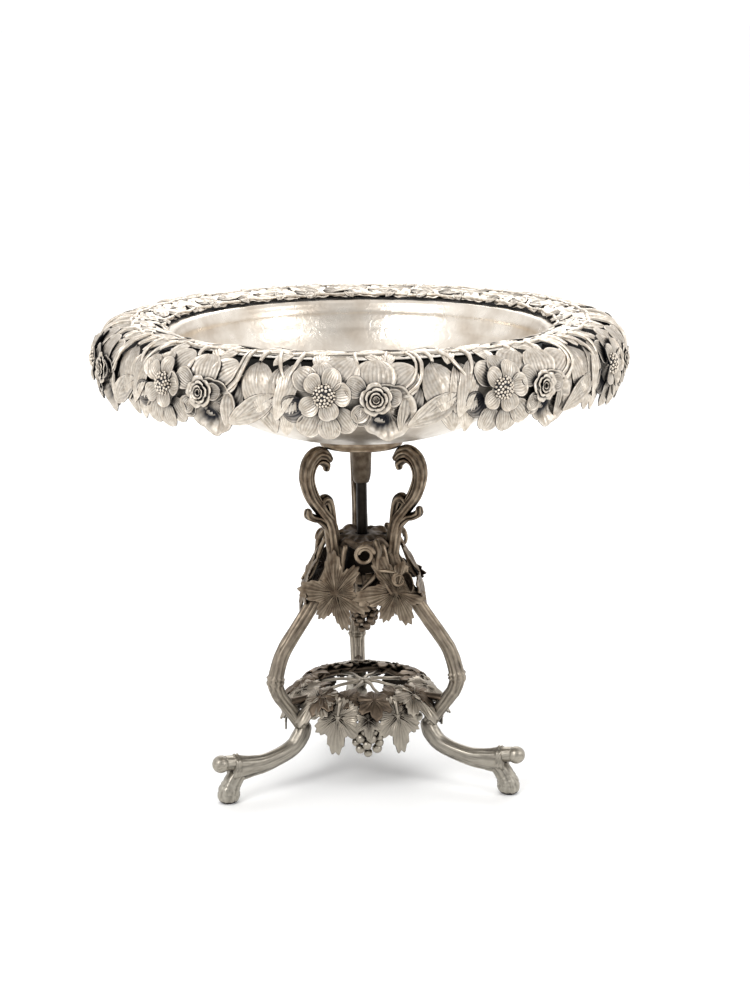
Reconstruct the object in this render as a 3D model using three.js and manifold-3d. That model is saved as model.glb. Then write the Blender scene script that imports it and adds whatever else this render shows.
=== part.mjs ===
// A tall centrepiece punch bowl: a spun bowl with a cast flower border, drawn down by a tie rod on a
// stand of three vine-branch legs, with a leafy waist and a leafy wreath between the legs.
// Millimetres, +Z up, origin on the floor under the middle of the bowl.

import * as THREE from "three";
import { mergeVertices } from "three/addons/utils/BufferGeometryUtils.js";
import Module from "manifold-3d";

const wasm = await Module();
wasm.setup();

// ---- Fits
const GAP = 0.3; // between any two faces that meet
const ROD_CLEARANCE = 0.4; // round the tie rod in each bore that it slides through

// ---- Bowl
const SEAT_HEIGHT = 265; // top of the ring that carries the bowl
const SEAT_RADIUS = 31;
const SEAT_BAND = 8; // height of that ring
const SEAT_WIDTH = 7; // its radial width
const BOWL_DEPTH = 80; // underside of the floor to the top of the lip
const FLOOR_RADIUS = 33;
const LIP_RADIUS = 141; // clear mouth inside the border
const LIP_FLANGE = 6; // how far the lip runs under the border
const LIP_INSET = 3; // wall's top inside the mouth
const BOWL_WALL = 1.6;

// ---- Border of cast sections
const RIM_RADIUS = 200; // outermost reach of the flowers
const BORDER_SECTIONS = 10;
const BORDER_START = 17; // degrees round to the middle of the first section
const BORDER_WALL = 2.6;
const BORDER_RISE = 8; // crest above the lip
const BORDER_DROP = 44; // lowest edge below the lip
const FLOWER_RELIEF = 5.5; // flowers stand this far off the section
const FLOWER_RADIUS = 17;
const VOID_LENGTH = 13; // pierced openings round the crest
const VOID_WIDTH = 8;
const SCALLOP_RADIUS = 6;

// ---- Tie rod, boss and nut
const ROD_RADIUS = 4;
const BOSS_RADIUS = 7.3;
const BOSS_LENGTH = 37;
const BOSS_SOCKET = 16; // depth of the rod in the boss
const WASHER_RADIUS = 9;
const WASHER_THICKNESS = 1.5;
const NUT_RADIUS = 8.5;
const NUT_HEIGHT = 8;
const ROD_PAST_NUT = 3.5;

// ---- Legs
const LEG_ANGLES = [90, 210, 330]; // degrees round, one at the back
const BRANCH_WIDTH = 11; // across a branch in the leg's own plane
const BRANCH_DEPTH = 11.5; // across a branch square to that plane
const SCROLL_BULGE = 18; // outermost reach of the scroll past the seat ring
const SCROLL_HEIGHT = 82; // waist to the underside of the seat ring
const WAIST_RADIUS = 24.6;
const KNOT_HEIGHT = 86;
const KNOT_RADIUS = 78.5;
const KNUCKLE_HEIGHT = 44;
const KNUCKLE_RADIUS = 55;
const KNUCKLE_BALL = 8;
const PAD_REACH = 122; // centre of each foot pad from the axis
const PAD_RADIUS = 7.5;
const TOE_RISE = 31.5; // toe ball above the floor
const TOE_BALL = 6.3;

// ---- Leafy waist
const HUB_RADIUS = 16;
const HUB_HEIGHT = 30;
const COLLAR_RADIUS = 26;
const COLLAR_RISE = 15; // collar's top above the waist
const COLLAR_THICKNESS = 6;
const WAIST_LEAF_LENGTH = 50;
const WAIST_LEAF_SPACING = 3; // clear width between neighbouring leaves
const WAIST_LEAF_TILT = 70; // degrees below level
const WAIST_LEAF_STALK = 12; // leaf plate's top outside the collar
const LEAF_THICKNESS = 1.8;
const STALK_RADIUS = 1.9;
const CURL_RADIUS = 6.5;
const BERRY_RADIUS = 4.6;
const BUNCH_CLEARANCE = 1; // between the washer and the berries round it

// ---- Wreath between the legs
const WREATH_HEIGHT = 70; // top of the ring
const WREATH_THICKNESS = 5.5;
const WREATH_INNER = 32;
const WREATH_OUTER = 46;
const WREATH_LUG_WIDTH = 8;
const DROOP_LEAF_LENGTH = 42;
const SIDE_LEAF_LENGTH = 25;
const SPIDER_STEMS = 8;
const SPIDER_HUB = 6;
const SPIDER_RISE = 4; // arch of the stems above the ring's middle

// ---- Worked out from the sizes above
const scrollTop = SEAT_HEIGHT - SEAT_BAND;
const waistHeight = scrollTop - SCROLL_HEIGHT;
const collarTop = waistHeight + COLLAR_RISE;
const bowlBottom = SEAT_HEIGHT + GAP;
const lipTop = bowlBottom + BOWL_DEPTH;
const borderFace = RIM_RADIUS - FLOWER_RELIEF;
const hubBottom = collarTop - HUB_HEIGHT;
const washerTop = hubBottom - GAP;
const nutTop = washerTop - WASHER_THICKNESS - GAP;
const rodBottom = nutTop - NUT_HEIGHT - ROD_PAST_NUT;
const boreRadius = ROD_RADIUS + ROD_CLEARANCE;
const wreathBottom = WREATH_HEIGHT - WREATH_THICKNESS;

// ---- Finishes
const silver = new THREE.MeshStandardMaterial({ color: 0xd9d0be, roughness: 0.34, metalness: 1 });
const nickel = new THREE.MeshStandardMaterial({ color: 0x8f806b, roughness: 0.42, metalness: 1 });
const darkened = new THREE.MeshStandardMaterial({ color: 0x3a312a, roughness: 0.5, metalness: 1 });
const blackened = new THREE.MeshStandardMaterial({ color: 0x17130f, roughness: 0.45, metalness: 0.8 });

// ---- Shape helpers
const between = THREE.MathUtils.lerp;
const radians = THREE.MathUtils.degToRad;

// The closed solid of a geometry, for joining and cutting.
function solid(geometry) {
  const bare = geometry.clone();
  bare.deleteAttribute("normal");
  bare.deleteAttribute("uv");
  const merged = mergeVertices(bare, 1e-4);
  return new wasm.Manifold(
    new wasm.Mesh({
      numProp: 3,
      vertProperties: merged.attributes.position.array,
      triVerts: new Uint32Array(merged.index.array),
    }),
  );
}

function geometryOf(manifold) {
  const mesh = manifold.getMesh();
  const geometry = new THREE.BufferGeometry();
  geometry.setAttribute("position", new THREE.BufferAttribute(mesh.vertProperties, 3));
  geometry.setIndex(new THREE.BufferAttribute(mesh.triVerts, 1));
  return geometry;
}

function joined(geometries) {
  return geometries.map(solid).reduce((whole, piece) => whole.add(piece));
}

function cutAway(whole, cutters) {
  return cutters.map(solid).reduce((left, cutter) => left.subtract(cutter), whole);
}

// A round piece turned about Z from [radius, height] points, anticlockwise.
function turned(profile, segments) {
  const points = profile.map(([radius, height]) => new THREE.Vector2(radius, height));
  return new THREE.LatheGeometry(points, segments).rotateX(Math.PI / 2);
}

function bar(radius, bottom, top, segments) {
  return turned([[0, bottom], [radius, bottom], [radius, top], [0, top]], segments);
}

function bored(outer, inner, bottom, top, segments) {
  return turned([[inner, bottom], [outer, bottom], [outer, top], [inner, top], [inner, bottom]], segments);
}

// A line in the XZ plane: X runs away from the axis of the stand, Z up.
function line(points) {
  return new THREE.CatmullRomCurve3(points.map(([radius, height]) => new THREE.Vector3(radius, 0, height)));
}

// A branch along part of a line in the XZ plane. widthAt and depthAt give its half sizes in the
// plane and across it, from 0 at the start of the stretch to 1 at its end.
function branch(curve, from, to, widthAt, depthAt, steps, sides) {
  const geometry = new THREE.CylinderGeometry(1, 1, 1, sides, steps);
  const position = geometry.getAttribute("position");
  const across = new THREE.Vector3(0, 1, 0);
  for (let i = 0; i < position.count; i++) {
    const along = position.getY(i) + 0.5;
    const place = between(from, to, along);
    const tangent = curve.getTangentAt(place);
    const inPlane = new THREE.Vector3().crossVectors(tangent, across);
    const point = curve
      .getPointAt(place)
      .addScaledVector(inPlane, position.getX(i) * widthAt(along))
      .addScaledVector(across, position.getZ(i) * depthAt(along));
    position.setXYZ(i, point.x, point.y, point.z);
  }
  return geometry;
}

function stem(points, startRadius, endRadius, steps, sides) {
  const radiusAt = (along) => between(startRadius, endRadius, along);
  return branch(line(points), 0, 1, radiusAt, radiusAt, steps, sides);
}

function ball(radius, x, y, z, detail = 1) {
  return new THREE.IcosahedronGeometry(radius, detail).translate(x, y, z);
}

// Points of a line moved square to it, to the left of its direction.
function beside(points, distance) {
  return points.map(([x, y], i) => {
    const [ax, ay] = points[Math.max(i - 1, 0)];
    const [bx, by] = points[Math.min(i + 1, points.length - 1)];
    const length = Math.hypot(bx - ax, by - ay);
    return [x - ((by - ay) / length) * distance, y + ((bx - ax) / length) * distance];
  });
}

function smooth(points, steps) {
  const curve = new THREE.SplineCurve(points.map(([x, y]) => new THREE.Vector2(x, y)));
  return curve.getPoints(steps).map((point) => [point.x, point.y]);
}

// A five-lobed leaf plate: it starts at the origin and runs along +X, flat in XY.
const WIDEST_LOBE = 0.28; // share of the length at which the widest lobes stand
function leafPlate(length, width) {
  const half = [
    [0, 0.05],
    [0.1, 0.3],
    [WIDEST_LOBE, 0.5],
    [0.36, 0.34],
    [0.58, 0.46],
    [0.66, 0.24],
    [0.84, 0.2],
  ];
  const upper = half.map(([along, aside]) => new THREE.Vector2(along * length, aside * width));
  const lower = half.map(([along, aside]) => new THREE.Vector2(along * length, -aside * width)).reverse();
  const outline = new THREE.Shape([...lower, ...upper, new THREE.Vector2(length, 0)].reverse());
  return new THREE.ExtrudeGeometry(outline, { depth: LEAF_THICKNESS, bevelEnabled: false }).translate(
    0,
    0,
    -LEAF_THICKNESS / 2,
  );
}

// A hanging bunch of berries: its stalk's top is at the origin, and its berries hang in rows round a
// line that stands outward of the stalk by the distance given.
const BERRY_SPREAD = 0.95; // berry's middle from that line, in berry radii
const FIRST_ROW_DROP = 1.6; // in berry radii
const ROW_DROP = 1.45; // in berry radii
function berryBunch(rows, outward = 0) {
  const berries = [];
  rows.forEach((count, row) => {
    const drop = -BERRY_RADIUS * (FIRST_ROW_DROP + ROW_DROP * row);
    const spread = count > 1 ? BERRY_RADIUS * BERRY_SPREAD : 0;
    for (let i = 0; i < count; i++) {
      const turn = (2 * Math.PI * (i + 0.5 * (row % 2))) / count;
      const out = outward + spread * Math.cos(turn);
      berries.push(ball(BERRY_RADIUS, out, spread * Math.sin(turn), drop, 0));
    }
  });
  const firstDrop = -BERRY_RADIUS * FIRST_ROW_DROP;
  const stalk = stem([[0, 0], [0, 0.3 * firstDrop], [outward, firstDrop]], STALK_RADIUS, STALK_RADIUS, 3, 6);
  return geometryOf(joined([...berries, stalk]));
}

const object = new THREE.Group();

function add(parent, name, geometry, material) {
  const mesh = new THREE.Mesh(geometry, material);
  mesh.name = name;
  parent.add(mesh);
  return mesh;
}

// A group turned round the stand's axis, with X pointing outwards.
function sector(degrees) {
  const group = new THREE.Group();
  group.rotation.z = radians(degrees);
  object.add(group);
  return group;
}

// ---- Bowl
function bowlShell() {
  const rise = BOWL_DEPTH - BOWL_WALL;
  const wallTop = LIP_RADIUS - LIP_INSET;
  const shape = [[0, 0], [0.26, 0.045], [0.5, 0.15], [0.69, 0.32], [0.84, 0.55], [0.93, 0.76], [1, 1]];
  const wall = smooth(
    shape.map(([out, up]) => [between(FLOOR_RADIUS, wallTop, out), bowlBottom + up * rise]),
    7,
  );
  const inner = beside(wall, BOWL_WALL).reverse();
  inner[0] = [wallTop - BOWL_WALL, lipTop];
  const flangeEdge = LIP_RADIUS + LIP_FLANGE;
  return turned(
    [
      [0, bowlBottom],
      ...wall,
      [flangeEdge, lipTop - BOWL_WALL],
      [flangeEdge, lipTop],
      ...inner,
      [0, bowlBottom + BOWL_WALL],
    ],
    36,
  );
}

// One border section: a roll from the mouth over the crest and down to the scalloped edge.
function borderSection() {
  const out = (share) => between(LIP_RADIUS, borderFace, share);
  const top = smooth(
    [
      [LIP_RADIUS, lipTop + GAP + BORDER_WALL],
      [out(0.42), lipTop + BORDER_RISE],
      [out(0.87), lipTop - 0.02 * BORDER_DROP],
      [out(1), lipTop - 0.42 * BORDER_DROP],
      [out(0.9), lipTop - BORDER_DROP],
    ],
    6,
  );
  const under = beside(top, -BORDER_WALL).reverse();
  const profile = new THREE.Shape([...top, ...under].map(([x, y]) => new THREE.Vector2(x, y)));
  const roll = new THREE.ExtrudeGeometry(profile, { depth: 1, steps: 4, bevelEnabled: false });
  const position = roll.getAttribute("position");
  const span = (2 * Math.PI) / BORDER_SECTIONS - GAP / borderFace;
  for (let i = 0; i < position.count; i++) {
    const turn = (0.5 - position.getZ(i)) * span;
    const radius = position.getX(i);
    position.setXYZ(i, radius * Math.cos(turn), radius * Math.sin(turn), position.getY(i));
  }
  const flowers = [-9, 1.5].map((degrees) =>
    new THREE.SphereGeometry(1, 7, 4)
      .scale(FLOWER_RELIEF + 1, FLOWER_RADIUS, FLOWER_RADIUS)
      .translate(borderFace - 1, 0, lipTop - 0.5 * BORDER_DROP)
      .rotateZ(radians(degrees)),
  );
  const voids = [-10, 8].map((degrees) =>
    new THREE.CylinderGeometry(1, 1, 4 * BORDER_RISE, 6)
      .rotateX(Math.PI / 2)
      .scale(VOID_WIDTH / 2, VOID_LENGTH / 2, 1)
      .translate(out(0.6), 0, lipTop + BORDER_RISE)
      .rotateZ(radians(degrees)),
  );
  const scallops = [-3.5, 12].map((degrees) =>
    new THREE.CylinderGeometry(SCALLOP_RADIUS, SCALLOP_RADIUS, 30, 6)
      .rotateZ(Math.PI / 2)
      .translate(out(0.9), 0, lipTop - BORDER_DROP)
      .rotateZ(radians(degrees)),
  );
  return geometryOf(cutAway(solid(roll).add(joined(flowers)), [...voids, ...scallops]));
}

function bowlBoss() {
  const top = bowlBottom - GAP;
  const bottom = top - BOSS_LENGTH;
  const mouth = bottom + BOSS_SOCKET;
  return turned(
    [
      [boreRadius, bottom],
      [BOSS_RADIUS * 0.75, bottom],
      [BOSS_RADIUS * 0.93, bottom + 3],
      [BOSS_RADIUS, top],
      [0, top],
      [0, mouth],
      [boreRadius, mouth],
      [boreRadius, bottom],
    ],
    20,
  );
}

function tieRod() {
  const top = bowlBottom - GAP - BOSS_LENGTH + BOSS_SOCKET - GAP;
  return bar(ROD_RADIUS, rodBottom, top, 16);
}

// ---- Legs, drawn in the XZ plane
const upLeg = (share) => between(waistHeight, scrollTop, share);
const bowOut = (share) => between(KNOT_RADIUS, WAIST_RADIUS, share);
const bowUp = (share) => between(KNOT_HEIGHT, waistHeight, share);
const scrollReach = SEAT_RADIUS + SCROLL_BULGE;

const legLine = line([
  [KNUCKLE_RADIUS, KNUCKLE_HEIGHT],
  [between(KNUCKLE_RADIUS, KNOT_RADIUS, 0.36), between(KNUCKLE_HEIGHT, KNOT_HEIGHT, 0.32)],
  [between(KNUCKLE_RADIUS, KNOT_RADIUS, 0.72), between(KNUCKLE_HEIGHT, KNOT_HEIGHT, 0.6)],
  [KNOT_RADIUS, KNOT_HEIGHT],
  [bowOut(0.1), bowUp(0.2)],
  [bowOut(0.27), bowUp(0.35)],
  [bowOut(0.5), bowUp(0.52)],
  [bowOut(0.77), bowUp(0.73)],
  [WAIST_RADIUS, waistHeight],
  [between(WAIST_RADIUS, scrollReach, 0.16), upLeg(0.28)],
  [between(WAIST_RADIUS, scrollReach, 0.48), upLeg(0.43)],
  [between(WAIST_RADIUS, scrollReach, 0.84), upLeg(0.57)],
  [scrollReach, upLeg(0.76)],
  [scrollReach - 3, upLeg(0.9)],
  [scrollReach - 9, scrollTop - 1.5],
  [scrollReach - 15, scrollTop - 3],
  [scrollReach - 19, scrollTop - 8],
]);

// The place on a line nearest to a height, on the stretch given.
function placeAtHeight(curve, height, from, to) {
  let best = from;
  for (let i = 0; i <= 400; i++) {
    const place = between(from, to, i / 400);
    const miss = Math.abs(curve.getPointAt(place).z - height);
    if (miss < Math.abs(curve.getPointAt(best).z - height)) best = place;
  }
  return best;
}

const waistPlace = placeAtHeight(legLine, waistHeight, 0.3, 0.8);
const knotPlace = placeAtHeight(legLine, KNOT_HEIGHT, 0, 0.5);
const buttGap = GAP / legLine.getLength();

// grow adds a clearance all round, for cutting what meets the branch.
function scrollBranch(grow) {
  const thin = (along) => between(1, 0.72, along);
  return branch(
    legLine,
    waistPlace,
    1,
    (along) => (BRANCH_WIDTH / 2) * thin(along) + grow,
    (along) => (BRANCH_DEPTH / 2) * thin(along) + grow,
    15,
    8,
  );
}

function bowBranch(grow) {
  return branch(
    legLine,
    0,
    waistPlace - buttGap,
    () => BRANCH_WIDTH / 2 + grow,
    () => BRANCH_DEPTH / 2 + grow,
    12,
    8,
  );
}

function seatRing() {
  return bored(SEAT_RADIUS, SEAT_RADIUS - SEAT_WIDTH, scrollTop, SEAT_HEIGHT, 32);
}

// The scroll with its two side shoots, a leafy curl at its tip and a pad soldered to the seat ring.
const INNER_KNOB = 5.4;
const OUTER_KNOB = 4.4;
const SCROLL_CURL = 4.6;
const SOLDER_PAD = 4.5;
function scrollParts(grow) {
  const fork = upLeg(0.14);
  const innerKnob = [WAIST_RADIUS + 6, upLeg(0.5)];
  const outerKnob = [WAIST_RADIUS + 19.5, upLeg(0.375)];
  const innerLine = [[WAIST_RADIUS + 1, fork], [WAIST_RADIUS + 3, upLeg(0.33)], innerKnob];
  const outerLine = [[WAIST_RADIUS + 2, fork], [WAIST_RADIUS + 8, upLeg(0.28)], outerKnob];
  return [
    scrollBranch(grow),
    stem(innerLine, 4 + grow, 3.4 + grow, 4, 6),
    ball(INNER_KNOB + grow, innerKnob[0], 0, innerKnob[1], 0),
    stem(outerLine, 4 + grow, 3 + grow, 4, 6),
    ball(OUTER_KNOB + grow, outerKnob[0], 0, outerKnob[1], 0),
    ball(SCROLL_CURL + grow, scrollReach - 17.5, 0, scrollTop - 9.5),
    ball(SOLDER_PAD + grow, SEAT_RADIUS + 1.5, 0, scrollTop - 1, 0),
  ];
}

function legScroll() {
  const ringSeat = bar(SEAT_RADIUS + GAP, scrollTop - GAP, SEAT_HEIGHT + SEAT_BAND, 32);
  return geometryOf(cutAway(joined(scrollParts(0)), [ringSeat]));
}

function knuckle(grow) {
  return ball(KNUCKLE_BALL + grow, KNUCKLE_RADIUS, 0, KNUCKLE_HEIGHT - 2);
}

const KNOT_COLLAR = 6.4; // length of the ridge round the knot
function legBow() {
  const collarHalf = KNOT_COLLAR / 2 / legLine.getLength();
  const collar = branch(
    legLine,
    knotPlace - collarHalf,
    knotPlace + collarHalf,
    () => BRANCH_WIDTH * 0.6,
    () => BRANCH_DEPTH * 0.6,
    1,
    8,
  );
  return geometryOf(cutAway(joined([bowBranch(0), collar]), [knuckle(GAP)]));
}

function legFoot() {
  const instep = [
    [KNUCKLE_RADIUS, KNUCKLE_HEIGHT - 2],
    [KNUCKLE_RADIUS + 9, KNUCKLE_HEIGHT - 11],
    [between(KNUCKLE_RADIUS, PAD_REACH, 0.4), TOE_RISE - 4],
    [between(KNUCKLE_RADIUS, PAD_REACH, 0.65), TOE_RISE - 7],
    [PAD_REACH - 6, TOE_RISE - 7],
  ];
  const shin = branch(
    line(instep),
    0,
    1,
    (along) => between(BRANCH_WIDTH / 2, 9, along ** 3),
    (along) => between(BRANCH_DEPTH / 2, 6.5, along ** 2),
    7,
    8,
  );
  const toe = stem([[PAD_REACH - 8, TOE_RISE - 2], [PAD_REACH + 6.5, TOE_RISE]], 6.5, 4, 1, 8);
  const heel = stem([[PAD_REACH - 9, TOE_RISE - 9], [PAD_REACH, PAD_RADIUS + 1]], 8, 7, 1, 8);
  const pad = bar(PAD_RADIUS, 0, 10, 12).translate(PAD_REACH, 0, 0);
  const toeBall = ball(TOE_BALL, PAD_REACH + 6.5, 0, TOE_RISE);
  return geometryOf(joined([knuckle(0), shin, toe, heel, pad, toeBall]));
}

// ---- Waist
const collarMiddle = collarTop - COLLAR_THICKNESS / 2;

function waistCollar() {
  const hub = turned(
    [
      [boreRadius, hubBottom],
      [HUB_RADIUS, hubBottom],
      [HUB_RADIUS, collarTop - COLLAR_THICKNESS],
      [COLLAR_RADIUS, collarTop - COLLAR_THICKNESS],
      [COLLAR_RADIUS, collarTop],
      [boreRadius, collarTop],
      [boreRadius, hubBottom],
    ],
    36,
  );
  const legs = LEG_ANGLES.flatMap((degrees) =>
    [...scrollParts(GAP), bowBranch(GAP)].map((geometry) => geometry.rotateZ(radians(degrees))),
  );
  return geometryOf(cutAway(solid(hub), legs));
}

// A leaf that hangs outside the legs from a stalk on the collar.
function waistLeaf() {
  const stalkStart = COLLAR_RADIUS + GAP + STALK_RADIUS;
  const leafTop = [COLLAR_RADIUS + WAIST_LEAF_STALK, collarMiddle - 10];
  const stalk = stem([[stalkStart, collarMiddle], leafTop], STALK_RADIUS, STALK_RADIUS, 1, 6);
  const tilt = radians(WAIST_LEAF_TILT);
  const widestRadius = leafTop[0] - 1 + WIDEST_LOBE * WAIST_LEAF_LENGTH * Math.cos(tilt);
  const neighbours = 2 * LEG_ANGLES.length;
  const width = 2 * widestRadius * Math.tan(Math.PI / neighbours) - WAIST_LEAF_SPACING;
  const plate = leafPlate(WAIST_LEAF_LENGTH, width)
    .rotateY(tilt)
    .translate(leafTop[0] - 1, 0, leafTop[1] + 3);
  const legs = [-1, 1].map((side) => bowBranch(GAP).rotateZ((side * Math.PI) / neighbours));
  return geometryOf(cutAway(joined([stalk, plate]), legs));
}

// A stem that hangs from the collar with a closed curl beside it.
function waistTendril() {
  const start = COLLAR_RADIUS + GAP + STALK_RADIUS;
  const hang = stem(
    [[start, collarMiddle + 2], [start + 2, collarMiddle - 12], [start + 3, collarMiddle - 26]],
    STALK_RADIUS,
    STALK_RADIUS * 0.7,
    4,
    6,
  );
  const curl = new THREE.TorusGeometry(CURL_RADIUS, STALK_RADIUS, 5, 10)
    .rotateY(Math.PI / 2)
    .translate(start + 2, -CURL_RADIUS, collarMiddle - 10);
  return geometryOf(joined([hang, curl]));
}

// The washer and the nut pass down inside the three bunches.
function waistInnerBunch() {
  const hang = HUB_RADIUS - STALK_RADIUS;
  const reach = BERRY_RADIUS * (1 + BERRY_SPREAD);
  const outward = WASHER_RADIUS + BUNCH_CLEARANCE + reach - hang;
  return berryBunch([3, 2, 1], outward).translate(hang, 0, hubBottom - GAP);
}

// ---- Wreath
function wreathRing() {
  const ring = bored(WREATH_OUTER, WREATH_INNER, wreathBottom, WREATH_HEIGHT, 36);
  const lugLength = KNOT_RADIUS - WREATH_OUTER;
  const lugs = LEG_ANGLES.map((degrees) =>
    new THREE.BoxGeometry(lugLength + 4, WREATH_LUG_WIDTH, WREATH_THICKNESS)
      .translate(WREATH_OUTER + lugLength / 2 - 2, 0, wreathBottom + WREATH_THICKNESS / 2)
      .rotateZ(radians(degrees)),
  );
  const legs = LEG_ANGLES.map((degrees) => bowBranch(GAP).rotateZ(radians(degrees)));
  const cut = cutAway(solid(ring).add(joined(lugs)), legs);
  // A lug's end beyond its leg falls away: the ring is the largest body left.
  const bodies = cut.decompose().sort((a, b) => b.volume() - a.volume());
  return geometryOf(bodies[0]);
}

function spider() {
  const middle = wreathBottom + WREATH_THICKNESS / 2;
  const reach = WREATH_INNER - GAP;
  const stems = [];
  for (let i = 0; i < SPIDER_STEMS; i++) {
    const arch = stem(
      [[0, middle + SPIDER_RISE], [reach * 0.5, middle + SPIDER_RISE + 1], [reach, middle]],
      2,
      1.8,
      4,
      6,
    );
    stems.push(arch.rotateZ((2 * Math.PI * (i + 0.5)) / SPIDER_STEMS));
  }
  const hub = bar(SPIDER_HUB, middle + SPIDER_RISE - 2.5, middle + SPIDER_RISE + 2.5, 8);
  return geometryOf(cutAway(joined([...stems, hub]), [bored(WREATH_OUTER, reach, 0, SEAT_HEIGHT, 36)]));
}

// Leaves round the wreath, by degrees from the middle of the sector. Droop and room, the sector that a
// leaf may fill, are in degrees too.
const wreathLeaves = [
  { degrees: -46, length: SIDE_LEAF_LENGTH, droop: 12, room: 14 },
  { degrees: -24, length: DROOP_LEAF_LENGTH, droop: 58, room: 23 },
  { degrees: 24, length: DROOP_LEAF_LENGTH, droop: 58, room: 23 },
  { degrees: 46, length: SIDE_LEAF_LENGTH, droop: 12, room: 14 },
];

function wreathLeaf({ length, droop, room }) {
  const width = 2 * (WREATH_OUTER + length / 3) * Math.sin(radians(room / 2));
  return leafPlate(length, width)
    .rotateY(radians(droop))
    .translate(WREATH_OUTER + GAP + LEAF_THICKNESS / 2, 0, WREATH_HEIGHT - WREATH_THICKNESS / 2);
}

function wreathBunch() {
  return berryBunch([3, 3, 1]).translate(WREATH_OUTER - STALK_RADIUS - 1, 0, wreathBottom - GAP);
}

// ---- Assembly
add(object, "bowl_shell", bowlShell(), silver);
for (let i = 0; i < BORDER_SECTIONS; i++) {
  const name = "border_section_" + String(i + 1).padStart(2, "0");
  add(sector(BORDER_START + (360 / BORDER_SECTIONS) * i), name, borderSection(), silver);
}
add(object, "bowl_boss", bowlBoss(), nickel);
add(object, "tie_rod", tieRod(), blackened);
add(object, "tie_washer", bored(WASHER_RADIUS, boreRadius, washerTop - WASHER_THICKNESS, washerTop, 16), nickel);
add(object, "tie_nut", bored(NUT_RADIUS, boreRadius, nutTop - NUT_HEIGHT, nutTop, 16), nickel);

add(object, "seat_ring", seatRing(), nickel);
LEG_ANGLES.forEach((degrees, i) => {
  const leg = sector(degrees);
  add(leg, "leg_scroll_" + (i + 1), legScroll(), nickel);
  add(leg, "leg_bow_" + (i + 1), legBow(), nickel);
  add(leg, "leg_foot_" + (i + 1), legFoot(), nickel);
});

add(object, "waist_collar", waistCollar(), darkened);
LEG_ANGLES.forEach((degrees, i) => {
  const middle = degrees + 60;
  add(sector(middle - 30), "waist_leaf_" + (2 * i + 1), waistLeaf(), nickel);
  add(sector(middle + 30), "waist_leaf_" + (2 * i + 2), waistLeaf(), nickel);
  const bay = sector(middle);
  add(bay, "waist_tendril_" + (i + 1), waistTendril(), nickel);
  add(bay, "waist_grapes_" + (i + 1), waistInnerBunch(), darkened);
});

add(object, "wreath_ring", wreathRing(), darkened);
add(object, "wreath_spider", spider(), nickel);
LEG_ANGLES.forEach((degrees, i) => {
  const middle = degrees + 60;
  wreathLeaves.forEach((leaf, j) => {
    add(sector(middle + leaf.degrees), "wreath_leaf_" + (4 * i + j + 1), wreathLeaf(leaf), nickel);
  });
  add(sector(middle), "wreath_grapes_" + (i + 1), wreathBunch(), nickel);
});

export default object;
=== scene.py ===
# A silver-plated punch bowl with a cast flower border, on a stand of three vine branches.
# Shapes are worked out in millimetres in the CAD frame and turned to metres when a mesh is made.
import math
import bmesh
import bpy
import numpy as np
from mathutils import Matrix, Vector


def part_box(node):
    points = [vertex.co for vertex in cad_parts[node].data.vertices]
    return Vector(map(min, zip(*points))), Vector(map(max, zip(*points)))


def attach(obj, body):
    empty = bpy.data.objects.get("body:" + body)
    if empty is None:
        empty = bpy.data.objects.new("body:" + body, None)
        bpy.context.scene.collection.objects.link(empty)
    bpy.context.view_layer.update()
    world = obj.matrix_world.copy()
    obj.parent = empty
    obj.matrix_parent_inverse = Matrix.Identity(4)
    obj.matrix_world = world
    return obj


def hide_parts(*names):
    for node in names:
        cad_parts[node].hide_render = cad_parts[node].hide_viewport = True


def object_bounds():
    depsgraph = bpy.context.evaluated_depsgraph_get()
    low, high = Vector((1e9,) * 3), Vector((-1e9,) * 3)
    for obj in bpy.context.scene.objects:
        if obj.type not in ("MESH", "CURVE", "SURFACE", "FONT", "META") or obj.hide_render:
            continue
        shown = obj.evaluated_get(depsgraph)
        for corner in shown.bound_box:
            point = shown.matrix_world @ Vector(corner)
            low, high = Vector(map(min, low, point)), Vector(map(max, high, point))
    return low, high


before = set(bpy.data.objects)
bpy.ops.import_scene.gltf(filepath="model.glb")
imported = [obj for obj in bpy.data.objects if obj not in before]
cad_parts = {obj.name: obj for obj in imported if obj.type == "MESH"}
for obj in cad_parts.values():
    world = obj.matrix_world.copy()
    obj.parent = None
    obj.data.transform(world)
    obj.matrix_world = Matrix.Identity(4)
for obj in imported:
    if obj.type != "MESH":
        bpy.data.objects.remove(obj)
cad_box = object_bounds()
scene = bpy.context.scene
MM = 0.001


# ---------------------------------------------------------------- sizes read from the frame, in mm
def corners(node):
    """Lowest and highest corner of a node's box."""
    low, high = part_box(node)
    return Vector(low) / MM, Vector(high) / MM


def reach(node):
    """Greatest distance of a node's box from the axis along X or Y."""
    low, high = corners(node)
    return max(high.x, high.y, -low.x, -low.y)


FLOOR_Z, LIP_Z = corners("bowl_shell")[0].z, corners("bowl_shell")[1].z
LIP_REACH = reach("bowl_shell")
RIM_RADIUS = cad_box[1].y / MM
CREST_Z = corners("border_section_01")[1].z
SEAT_RADIUS = reach("seat_ring")
SEAT_LOW, SEAT_TOP = corners("seat_ring")[0].z, corners("seat_ring")[1].z
ROD_RADIUS = reach("tie_rod")
ROD_LOW, ROD_TOP = corners("tie_rod")[0].z, corners("tie_rod")[1].z
BOSS_RADIUS = reach("bowl_boss")
BOSS_LOW, BOSS_TOP = corners("bowl_boss")[0].z, corners("bowl_boss")[1].z
HUB_LOW, COLLAR_TOP = corners("waist_collar")[0].z, corners("waist_collar")[1].z
COLLAR_RADIUS = reach("waist_collar")
WAIST_Z = corners("leg_bow_1")[1].z
SCROLL_REACH = corners("leg_scroll_1")[1].y
KNOT_REACH = corners("leg_bow_1")[1].y
FOOT_REACH = corners("leg_foot_1")[1].y
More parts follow.
